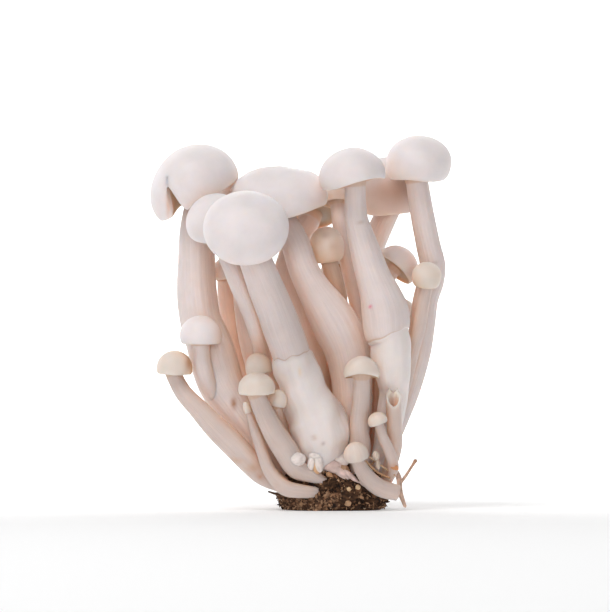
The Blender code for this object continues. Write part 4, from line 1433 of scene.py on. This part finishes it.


# The mushrooms, from the tall ones to the hidden ones at the back. Their shapes are those of part.py.
CLUMP: tuple[Mushroom, ...] = (
    Mushroom(
        "left_tall_mushroom",
        Stem((
            (-9.5, 1.0, 4.5, 1.7), (-11.5, 0.4, 7.0, 2.4), (-14.8, -1.0, 9.8, 2.9),
            (-19.8, -2.0, 18.2, 4.0), (-25.0, -1.9, 26.0, 5.2), (-28.2, -1.2, 31.0, 5.8),
            (-30.2, -0.4, 37.0, 6.1), (-31.4, 0.4, 41.0, 5.8), (-33.6, 1.4, 47.2, 5.1),
            (-34.5, 2.2, 54.0, 4.9), (-34.6, 2.6, 61.0, 4.6), (-34.6, 3.2, 69.0, 4.3),
            (-33.9, 4.3, 78.2, 3.8),
        )),
        Cap(
            11.7, 12.9, roll=-26, lean=12, waves=((1, -90, 0.02, -0.7), (2, -90, 0.01, -0.5)),
            cleft=(-36, 6.5, 10.0),
        ),
        columns=COLUMNS_LARGE,
        marks=(
            Mark(-25.2, 26.6, 0.7, 1.3, (178, 116, 66), 0.9),
            # Painted shade inside the cap's cleft.
            Mark(-41.6, 75.0, 0.5, 3.0, (206, 150, 108), 0.4),
        ),
        shoots=(
            Mushroom(
                "front_left_shoot",
                Stem((
                    (-27.0, -1.4, 24.0, 1.0), (-30.8, -5.2, 30.0, 1.9), (-32.8, -7.2, 35.6, 2.2),
                    (-33.4, -7.8, 41.5, 2.2),
                )),
                Cap(5.3, 6.9, lean=5, waves=((2, 0, 0.01, 0.1),), lip=0.84, widest=0.3),
            ),
        ),
    ),
    Mushroom(
        "front_mushroom",
        Stem((
            (-1.2, -8.2, 5.0, 1.8), (-1.6, -8.3, 10.6, 2.2), (-2.6, -8.6, 12.2, 4.6),
            (-3.0, -8.7, 14.6, 6.0), (-3.4, -8.8, 18.4, 7.1), (-4.4, -8.9, 22.4, 7.1),
            (-6.9, -9.1, 27.4, 6.1), (-8.9, -9.5, 32.4, 5.7), (-10.8, -10.2, 38.0, 5.3),
            (-11.0, -10.3, 38.8, 4.8), (-13.1, -11.4, 44.8, 4.8), (-15.0, -12.8, 50.0, 4.6),
            (-17.2, -14.6, 55.4, 4.4), (-19.2, -16.8, 60.6, 4.1), (-21.0, -19.4, 65.0, 3.8),
            (-21.9, -22.8, 68.4, 3.6),
        ), tears=(9,), lumps=0.05),
        Cap(10.45, 9.9, roll=-3, lean=52, waves=((2, 90, 0.012, 0.25),), dimple=(150, 0.35, 0.16, 0.25)),
        columns=COLUMNS_LARGE,
        marks=(
            Mark(-5.25, 18.25, 0.7, 0.45, (186, 140, 106), 0.5),
            Mark(-3.0, 16.75, 0.5, 0.35, (160, 124, 112), 0.45),
            Mark(-8.8, 34.5, 0.4, 1.0, (242, 208, 164), 0.45),
        ),
    ),
    Mushroom(
        "broad_mushroom",
        Stem((
            (3.0, 0.0, 5.0, 1.9), (3.3, 0.2, 10.0, 2.8), (3.9, 0.3, 17.2, 4.2), (4.4, 0.2, 27.0, 4.9),
            (3.9, 0.0, 34.6, 5.2), (2.8, -0.4, 39.8, 5.5), (0.6, -0.6, 45.0, 5.9),
            (-2.3, -0.6, 50.0, 5.3), (-5.4, -0.4, 55.0, 4.3), (-7.9, -0.2, 60.0, 3.8),
            (-9.8, 0.2, 66.0, 3.6), (-13.9, 2.3, 74.2, 3.4),
        )),
        Cap(
            12.0, 11.6, roll=-4, lean=4, waves=((2, 90, 0.03, 1.0), (3, 60, 0.02, 0.5)),
            dimple=(80, 0.42, 0.22, 0.9),
        ),
        columns=COLUMNS_LARGE,
    ),
    Mushroom(
        "knee_mushroom",
        Stem((
            (7.8, -2.0, 5.0, 1.7), (10.0, -2.8, 9.8, 2.1), (12.5, -3.6, 16.0, 2.9),
            (13.5, -4.2, 22.2, 3.4), (14.6, -5.0, 29.4, 3.5), (14.4, -6.4, 33.4, 4.3),
            (13.9, -6.8, 38.0, 5.0), (13.6, -7.0, 42.4, 5.0), (13.1, -7.0, 43.6, 5.5),
            (12.5, -6.8, 49.0, 5.9), (11.4, -6.4, 53.0, 5.3), (9.7, -6.2, 57.4, 4.5),
            (8.1, -6.2, 62.4, 4.0), (6.6, -6.2, 67.4, 3.5), (5.3, -6.8, 72.4, 3.0),
            (4.8, -7.6, 81.0, 2.6),
        ), tears=(8,), lumps=0.02),
        Cap(8.3, 9.2, roll=-13, waves=((3, 20, 0.015, 0.25),), dimple=(62, 0.55, 0.1, 0.35)),
        columns=COLUMNS_LARGE,
        marks=(
            Mark(8.75, 50.5, 0.5, 0.33, (236, 96, 136), 0.85),
            Mark(6.5, 71.5, 2.2, 0.25, (176, 140, 120), 0.35),
        ),
    ),
    Mushroom(
        "right_tall_mushroom",
        Stem((
            (11.5, 3.2, 5.0, 1.7), (12.4, 4.0, 11.0, 2.4), (13.6, 4.8, 17.2, 2.7), (15.5, 5.4, 22.2, 2.9),
            (17.6, 5.8, 27.6, 3.0), (19.4, 5.9, 33.4, 3.1), (20.9, 5.7, 39.8, 3.2),
            (21.9, 5.2, 46.6, 3.2), (22.7, 4.7, 52.4, 3.2), (24.1, 4.3, 57.4, 3.4),
            (24.5, 4.1, 60.4, 3.3), (23.4, 3.5, 66.0, 3.1), (22.0, 2.8, 73.0, 3.0),
            (20.6, 2.2, 82.2, 2.8),
        )),
        Cap(
            8.15, 11.2, roll=3, lean=3, waves=((3, 95, 0.015, 0.3), (2, 60, 0.015, 0.2)), lip=0.76,
            widest=0.4,
        ),
        columns=COLUMNS_LARGE,
        marks=(
            Mark(25.4, 61.5, 1.3, 0.22, (176, 142, 124), 0.4),
        ),
    ),
    Mushroom(
        "side_leaning_mushroom",
        Stem((
            (-5.5, -1.0, 5.0, 1.4), (-7.4, -0.4, 11.0, 1.6), (-11.0, 0.4, 19.8, 1.7),
            (-14.6, 0.8, 27.4, 1.8), (-17.3, -1.0, 35.0, 1.9), (-18.9, -5.0, 42.2, 2.0),
            (-19.7, -7.6, 45.0, 2.1), (-21.2, -9.6, 49.8, 2.3), (-23.3, -11.0, 54.8, 2.4),
            (-25.8, -11.2, 61.6, 2.5), (-29.3, -9.9, 70.0, 2.3),
        )),
        Cap(7.7, 8.5, roll=-8, lean=33, waves=((2, 0, 0.02, 0.3),)),
    ),
    Mushroom(
        "shaded_cap_mushroom",
        Stem((
            (5.0, 9.5, 5.0, 1.6), (5.4, 10.8, 14.0, 2.3), (6.4, 13.0, 28.0, 3.1), (7.0, 16.2, 44.0, 3.0),
            (7.4, 18.8, 58.0, 3.1), (9.0, 19.8, 64.4, 3.1), (11.8, 19.6, 71.0, 3.0),
            (14.0, 17.8, 76.2, 2.8),
        )),
        Cap(8.8, 12.6, roll=-3, lean=20, waves=((3, 10, 0.015, 0.3),)),
        columns=COLUMNS_LARGE,
        marks=(
            # Painted shade over this cap, which lies in shade behind the caps in front.
            Mark(14.5, 79.5, 8.0, 4.6, (178, 136, 112), 0.85),
        ),
    ),
    Mushroom(
        "tan_mushroom",
        Stem((
            (1.0, 5.0, 5.0, 1.4), (1.6, 7.2, 16.0, 1.9), (2.4, 7.8, 34.0, 2.1), (2.0, 7.8, 44.0, 2.1),
            (1.4, 6.6, 50.0, 2.1), (0.2, 5.2, 56.0, 2.2), (-1.5, 5.2, 62.2, 2.1),
        )),
        Cap(4.35, 8.6, roll=-8, lean=14, waves=((3, 0, 0.02, 0.15),), lip=0.68, widest=0.44),
        tone=Tone.TAN,
        marks=(
            Mark(-2.6, 68.4, 1.4, 0.9, (190, 160, 140), 0.35),
            Mark(-0.4, 65.6, 1.2, 1.2, (196, 164, 142), 0.35),
        ),
    ),
    Mushroom(
        "lowest_left_mushroom",
        Stem((
            (-11.0, -3.5, 4.6, 1.5), (-13.8, -5.4, 6.7, 2.3), (-18.0, -7.2, 9.2, 2.9),
            (-21.6, -8.4, 12.5, 3.0), (-25.6, -8.6, 16.7, 3.1), (-29.4, -8.2, 20.3, 2.9),
            (-34.0, -7.4, 25.2, 2.5), (-38.0, -6.8, 29.6, 2.2), (-40.0, -6.4, 33.8, 2.0),
        )),
        Cap(4.4, 5.9, roll=2, lean=2, waves=((2, 90, 0.02, 0.1),)),
        tone=Tone.CREAM,
        marks=(
            Mark(-36.3, 36.7, 0.9, 1.8, (196, 140, 98), 0.75),
            Mark(-20.4, 10.6, 1.6, 1.1, (212, 160, 116), 0.55),
            Mark(-18.6, 8.4, 0.8, 0.8, (200, 132, 78), 0.6),
            Mark(-25.0, 12.4, 2.4, 0.7, (208, 168, 134), 0.5),
        ),
    ),
    Mushroom(
        "behind_stem_mushroom",
        Stem((
            (-8.0, -6.5, 5.0, 1.1), (-10.6, -7.0, 11.0, 1.3), (-15.4, -6.0, 19.0, 1.4),
            (-18.1, -7.0, 27.0, 1.5), (-18.7, -7.8, 34.0, 1.5),
        )),
        Cap(3.3, 5.2, roll=-14, lean=5),
        tone=Tone.CREAM,
    ),
    Mushroom(
        "flat_cream_mushroom",
        Stem((
            (-2.6, -11.2, 7.0, 1.3), (-5.6, -12.4, 8.6, 1.75), (-9.4, -13.2, 10.4, 2.6),
            (-12.2, -13.4, 14.8, 3.1), (-15.3, -14.8, 19.8, 2.8), (-17.8, -16.8, 24.8, 2.4),
            (-19.4, -18.2, 29.0, 2.1),
        )),
        Cap(4.5, 5.4, roll=-1, lean=3, waves=((2, 70, 0.02, 0.1),)),
        tone=Tone.CREAM,
    ),
    Mushroom(
        "dark_stem_mushroom",
        Stem((
            (-5.5, -4.5, 5.0, 1.1), (-8.6, -3.6, 12.0, 1.2), (-12.0, -5.5, 18.4, 1.2),
            (-13.6, -9.2, 22.4, 1.2), (-14.6, -13.6, 26.2, 1.2),
        )),
        Cap(2.4, 4.0, roll=14, lean=10),
        tone=Tone.CREAM,
    ),
    Mushroom(
        "pin_mushroom",
        Stem((
            (-3.4, -11.4, 4.6, 1.3), (-8.0, -13.6, 4.9, 1.7), (-12.4, -13.6, 5.8, 2.0),
            (-15.9, -12.8, 9.4, 1.7), (-18.1, -12.4, 14.6, 1.45), (-19.8, -12.2, 19.8, 1.25),
            (-21.4, -12.0, 24.2, 0.75),
        )),
        Cap(1.05, 3.0, roll=-20),
        tone=Tone.CREAM,
    ),
    Mushroom(
        "front_small_mushroom",
        Stem((
            (5.5, -8.0, 5.0, 1.5), (5.9, -8.4, 11.0, 2.4), (6.1, -8.8, 16.0, 2.7),
            (5.9, -10.2, 21.0, 2.3), (6.4, -12.2, 27.2, 2.2), (6.5, -14.0, 33.2, 2.0),
        )),
        Cap(4.5, 5.2, lean=-6, waves=((2, 0, 0.01, 0.35),)),
        tone=Tone.CREAM,
    ),
    Mushroom(
        "low_tilted_mushroom",
        Stem((
            (11.6, -6.6, 5.0, 1.0), (13.4, -8.3, 8.0, 1.1), (14.4, -11.2, 10.8, 1.3),
            (13.4, -13.0, 14.6, 1.4), (11.9, -13.4, 18.0, 1.3), (10.7, -13.8, 21.6, 1.1),
        )),
        Cap(2.45, 3.0, roll=-20, lean=8),
        tone=Tone.CREAM,
        marks=(
            Mark(14.6, 11.0, 1.2, 0.9, (216, 148, 96), 0.5),
        ),
    ),
    Mushroom(
        "fallen_cream_mushroom",
        Stem((
            (15.4, -9.8, 4.4, 2.0), (11.3, -11.2, 5.6, 2.2), (8.2, -13.4, 8.0, 2.1),
            (6.2, -15.0, 11.0, 1.8), (5.4, -15.6, 12.9, 1.6),
        )),
        Cap(3.1, 4.4, roll=-14, lean=14),
        tone=Tone.CREAM,
    ),
    Mushroom(
        "right_small_mushroom",
        Stem((
            (7.5, 2.5, 5.0, 1.1), (10.6, 0.7, 14.0, 1.2), (14.3, 1.1, 22.0, 1.45), (17.3, 0.1, 31.0, 1.7),
            (19.3, -0.9, 39.8, 1.8), (20.7, -2.2, 45.0, 1.8), (21.6, -3.1, 50.0, 1.7),
            (22.6, -3.5, 55.6, 1.6),
        )),
        Cap(3.7, 6.2, roll=4, lean=14, lip=0.66, widest=0.46),
        tone=Tone.CREAM,
    ),
    Mushroom(
        "behind_right_mushroom",
        Stem((
            (9.0, 7.0, 5.0, 1.3), (10.2, 9.4, 18.0, 1.7), (11.6, 9.8, 33.0, 2.1), (10.8, 9.6, 48.0, 1.9),
            (11.6, 9.2, 55.6, 1.9), (14.8, 8.8, 59.8, 1.8),
        )),
        Cap(5.5, 6.3, roll=42, lean=-14),
    ),
    Mushroom(
        "behind_centre_mushroom",
        Stem((
            (5.5, 5.5, 5.0, 1.1), (6.6, 7.2, 18.0, 1.4), (7.2, 7.4, 34.0, 1.5), (7.1, 8.2, 43.4, 1.5),
            (5.6, 8.8, 50.0, 1.6), (3.8, 9.3, 59.0, 1.9), (1.8, 10.4, 67.4, 1.9), (0.6, 12.0, 76.6, 1.8),
        )),
        Cap(4.2, 4.6, roll=-4, lean=-14),
        marks=(
            # Painted shade where this cap lies deep under the caps in front.
            Mark(0.4, 79.2, 5.0, 3.6, (206, 176, 154), 0.8),
        ),
    ),
    Mushroom(
        "behind_left_mushroom",
        Stem((
            (-7.5, 5.5, 5.0, 1.1), (-12.6, 6.6, 15.0, 1.3), (-20.6, 8.2, 29.0, 1.5),
            (-25.0, 9.4, 41.0, 1.8), (-27.0, 9.2, 51.0, 2.3), (-27.6, 8.4, 57.6, 2.0),
        )),
        Cap(3.1, 5.2, roll=-6, lean=4),
    ),
    Mushroom(
        "shaded_left_mushroom",
        Stem((
            (-3.5, 4.0, 5.0, 1.3), (-9.4, 4.6, 15.0, 1.7), (-16.6, 4.4, 27.0, 2.2),
            (-20.8, 4.0, 39.0, 2.5), (-22.6, 4.0, 50.0, 2.6), (-23.6, 4.4, 63.0, 2.3),
        )),
        Cap(4.1, 4.6, roll=-4, lean=-6),
    ),
    Mushroom(
        "back_centre_mushroom",
        Stem((
            (-2.0, 8.5, 5.0, 1.8), (-3.2, 9.8, 18.0, 2.8), (-5.4, 10.6, 36.0, 3.4),
            (-8.8, 10.8, 47.0, 3.4), (-12.0, 13.0, 58.0, 3.4), (-10.0, 16.4, 66.0, 3.1),
            (-6.4, 20.0, 73.0, 2.7),
        )),
        Cap(7.3, 7.4, roll=-4, lean=-28, waves=((3, 40, 0.02, 0.3),)),
        columns=COLUMNS_LARGE,
    ),
    Mushroom(
        "back_left_mushroom",
        Stem((
            (-6.0, 10.0, 5.0, 1.6), (-11.6, 11.8, 18.0, 2.4), (-19.6, 13.4, 36.0, 3.0),
            (-23.4, 15.4, 52.0, 3.0), (-25.4, 19.0, 66.0, 2.8), (-25.8, 20.8, 76.6, 2.5),
        )),
        Cap(5.6, 6.6, roll=-4, lean=-10, waves=((2, 30, 0.02, 0.3),)),
        marks=(
            # Painted shade where this cap lies deep behind the left cap.
            Mark(-26.2, 81.4, 2.4, 2.6, (176, 122, 86), 0.9),
        ),
        shoots=(
            Mushroom(
                "left_back_shoot",
                Stem((
                    (-10.8, 11.6, 16.0, 1.0), (-15.6, 12.8, 19.6, 1.5), (-21.6, 14.6, 26.0, 1.7),
                    (-26.6, 16.0, 33.0, 1.6),
                )),
                Cap(4.0, 5.2, roll=-14, lean=-8),
            ),
        ),
    ),
    Mushroom(
        "back_right_mushroom",
        Stem((
            (0.5, 12.2, 5.0, 1.4), (-0.2, 14.4, 20.0, 2.4), (-0.8, 16.6, 38.0, 2.8),
            (0.2, 20.0, 50.0, 2.6), (1.8, 25.0, 58.6, 2.2),
        )),
        Cap(5.4, 5.6, roll=6, lean=-34),
        shoots=(
            Mushroom(
                "lowest_back_shoot",
                Stem((
                    (-0.2, 13.9, 14.4, 0.9), (-3.2, 17.4, 17.0, 1.4), (-5.6, 20.4, 22.6, 1.5),
                    (-6.6, 22.0, 30.0, 1.4),
                )),
                Cap(3.3, 4.5, roll=-4, lean=-14),
            ),
        ),
    ),
    Mushroom(
        "back_short_mushroom",
        Stem((
            (8.5, 11.0, 5.0, 1.3), (11.2, 14.0, 18.0, 1.8), (13.6, 15.4, 34.0, 2.2),
            (15.8, 16.6, 48.0, 1.9),
        )),
        Cap(4.6, 5.0, roll=10, lean=-18),
        tone=Tone.CREAM,
        shoots=(
            Mushroom(
                "right_back_shoot",
                Stem((
                    (10.9, 13.6, 15.4, 0.9), (14.2, 12.8, 18.4, 1.4), (18.0, 12.4, 26.6, 1.6),
                    (20.2, 12.6, 37.6, 1.5),
                )),
                Cap(3.6, 4.8, roll=8, lean=-6),
            ),
        ),
    ),
    Mushroom(
        "low_back_left_mushroom",
        Stem((
            (-9.6, 12.0, 5.0, 1.1), (-12.6, 15.6, 15.0, 1.6), (-15.8, 19.2, 29.0, 1.8),
            (-17.4, 21.4, 40.0, 1.7),
        )),
        Cap(4.1, 5.4, roll=-8, lean=-12),
        tone=Tone.CREAM,
    ),
    Mushroom(
        "low_back_right_mushroom",
        Stem((
            (4.6, 13.4, 5.0, 1.1), (5.2, 17.4, 15.0, 1.6), (7.4, 21.4, 27.0, 1.8), (8.8, 24.0, 37.0, 1.7),
        )),
        Cap(4.0, 5.2, roll=8, lean=-16),
        tone=Tone.CREAM,
    ),
)
STUB_STEM: Path = (
    (11.6, -3.6, 5.0, 1.2), (13.5, -6.3, 10.6, 1.6), (14.8, -8.7, 17.0, 1.9), (14.6, -10.0, 22.0, 1.9),
    (14.5, -10.9, 25.8, 1.9),
)
THREAD: Path = (
    (12.2, -1.4, 7.4, 0.8), (14.8, -2.8, 9.6, 0.85), (15.8, -4.8, 8.2, 0.95), (16.2, -5.8, 4.4, 0.9),
    (17.4, -6.6, 0.9, 0.6),
)
THREAD_BRANCH: Path = (
    (16.0, -5.4, 6.4, 0.5), (17.6, -6.0, 8.6, 0.55), (19.0, -6.6, 10.8, 0.5), (20.0, -7.0, 12.4, 0.7),
)

FINISHES = {
    "white_flesh": Flesh("white_mushroom_flesh"),
    "torn_flesh": Flesh("torn_mushroom_flesh", scatter=0.35, scatter_depth=0.0006, roughness=0.6),
    "cream_flesh": Flesh("cream_mushroom_flesh", fibre_contrast=0.1),
    "growing_medium": Crumb("damp_growing_medium"),
    "root_thread": Crumb("dry_root_thread", low=0.7, bump=0.00015, roughness=0.75),
}
# Works out the painted shade and glow between the mushrooms.
PAINTED_SHADE = Shelter()
STUB = BrokenStub(Stem(STUB_STEM))
ROOT = RootThread(
    Tube(THREAD, 24, (226, 196, 180), (218, 186, 166), 401, thin=0.68),
    Tube(THREAD_BRANCH, 16, (220, 188, 168), (186, 144, 116), 402, thin=0.68),
)
MEDIUM = Substrate()
BITS = (
    Bits("substrate_crumbs", 4200, (0.3, 1.1), (0.5, 0.9), MEDIUM_CRUMBS, seed=21),
    Bits("substrate_slivers", 520, (1.4, 3.2), (0.08, 0.2), MEDIUM_SLIVERS, lift=0.25, seed=22),
    Bits("substrate_clods", 150, (1.3, 2.6), (0.5, 0.8), MEDIUM_CRUMBS, seed=25),
    Bits("substrate_flecks", 200, (0.4, 0.9), (0.6, 0.9), MEDIUM_FLECKS, seed=23),
    Bits("substrate_crust", 420, (0.9, 2.6), (0.2, 0.5), MEDIUM_CRUST, (0.05, 0.36), (-1.15, 0.1), 0.15, 24),
)
WHITE_SCRAP = (240, 228, 222)
PINK_SCRAP = (226, 200, 192)
SCRAPS = (
    Scraps(
        "torn_foot_scraps",
        "white_flesh",
        (
            Lump((-6.0, -13.7, 11.8), (0.95, 0.8, 2.5), WHITE_SCRAP, 12, 0.14),
            Lump((-4.0, -13.9, 11.9), (1.0, 0.8, 2.4), WHITE_SCRAP, -6, 0.14),
            Lump((-5.0, -13.3, 11.2), (1.3, 0.7, 2.5), (230, 184, 144), 0, 0.16),
            Lump((-9.3, -15.4, 12.9), (1.9, 1.4, 1.7), WHITE_SCRAP, 10, 0.12),
            Lump((-4.8, -13.9, 13.6), (1.9, 0.8, 0.9), WHITE_SCRAP, 8, 0.16),
            Lump((1.2, -10.2, 12.4), (3.0, 1.8, 1.9), WHITE_SCRAP, -25, 0.2),
            Lump((-0.6, -11.6, 11.0), (2.8, 1.0, 1.6), PINK_SCRAP, 18, 0.24),
            Lump((1.4, -11.8, 9.4), (2.4, 0.7, 1.0), PINK_SCRAP, 35, 0.26),
            Lump((3.9, -12.1, 8.6), (2.1, 0.55, 0.65), PINK_SCRAP, 42, 0.28),
            Lump((7.4, -13.0, 6.3), (1.7, 0.4, 0.4), PINK_SCRAP, 30, 0.28),
            Lump((10.0, -11.4, 13.6), (0.85, 0.85, 1.2), (228, 212, 198), 0, 0.15),
            Lump((10.5, -11.2, 11.6), (0.55, 0.6, 1.6), (214, 196, 180), -8, 0.2),
        ),
    ),
    Scraps(
        "tan_scraps",
        "cream_flesh",
        (
            Lump((2.1, -10.9, 10.2), (1.5, 1.1, 1.2), (196, 156, 124), 15, 0.24),
            Lump((14.6, -12.0, 10.9), (1.2, 0.9, 0.8), (214, 150, 104), 14, 0.2),
            Lump((3.4, -12.9, 5.5), (0.65, 0.5, 0.62), (222, 188, 148), 0, 0.16),
            Lump((5.6, -12.9, 5.9), (0.7, 0.5, 0.62), (222, 190, 152), 25, 0.16),
            Lump((3.2, -13.0, 1.9), (0.8, 0.5, 0.75), (184, 146, 112), 0, 0.2),
            Lump((-1.3, -13.2, 3.9), (0.6, 0.4, 0.5), (176, 132, 98), 20, 0.2),
            Lump((-1.5, -12.4, 9.0), (0.8, 0.5, 0.6), (190, 146, 108), 30, 0.2),
            Lump((6.5, -13.6, 3.4), (0.6, 0.4, 0.4), (170, 130, 98), 30, 0.2),
        ),
    ),
    Scraps(
        "loose_threads",
        "root_thread",
        (
            Tube(
                ((7.6, -10.4, 12.2, 0.3), (10.4, -11.4, 9.6, 0.28), (13.6, -11.8, 8.1, 0.2)),
                10, (196, 160, 128), (170, 130, 96), 411,
            ),
            Tube(
                ((8.6, -9.6, 13.2, 0.25), (11.6, -10.8, 11.0, 0.25), (14.8, -10.9, 8.8, 0.18)),
                10, (206, 176, 146), (176, 140, 106), 412,
            ),
            Tube(
                ((7.8, -9.4, 10.4, 0.25), (9.8, -9.6, 12.4, 0.2), (10.4, -9.8, 14.4, 0.15)),
                8, (180, 140, 104), (150, 110, 80), 413,
            ),
            Tube(
                ((-13.0, -10.6, 3.9, 0.3), (-14.8, -11.4, 4.2, 0.3), (-16.6, -12.0, 4.8, 0.2)),
                8, (96, 72, 56), (80, 58, 44), 414,
            ),
        ),
    ),
)


def main() -> None:
    """Builds the studio, the medium, the mushrooms and the thread, and logs each piece."""
    logging.basicConfig(level=logging.INFO, format="%(name)s: %(message)s")
    Studio().build()
    finishes = {name: finish.material() for name, finish in FINISHES.items()}
    for mushroom in CLUMP:
        PAINTED_SHADE.add(mushroom)
    for mushroom in CLUMP:
        mushroom.build(finishes)
    STUB.build(finishes["white_flesh"])
    ROOT.build(finishes["root_thread"])
    MEDIUM.build(finishes["growing_medium"])
    for bits in BITS:
        bits.build(MEDIUM, finishes["growing_medium"])
    for scraps in SCRAPS:
        scraps.build(finishes)
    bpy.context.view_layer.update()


if __name__ == "__main__":
    main()
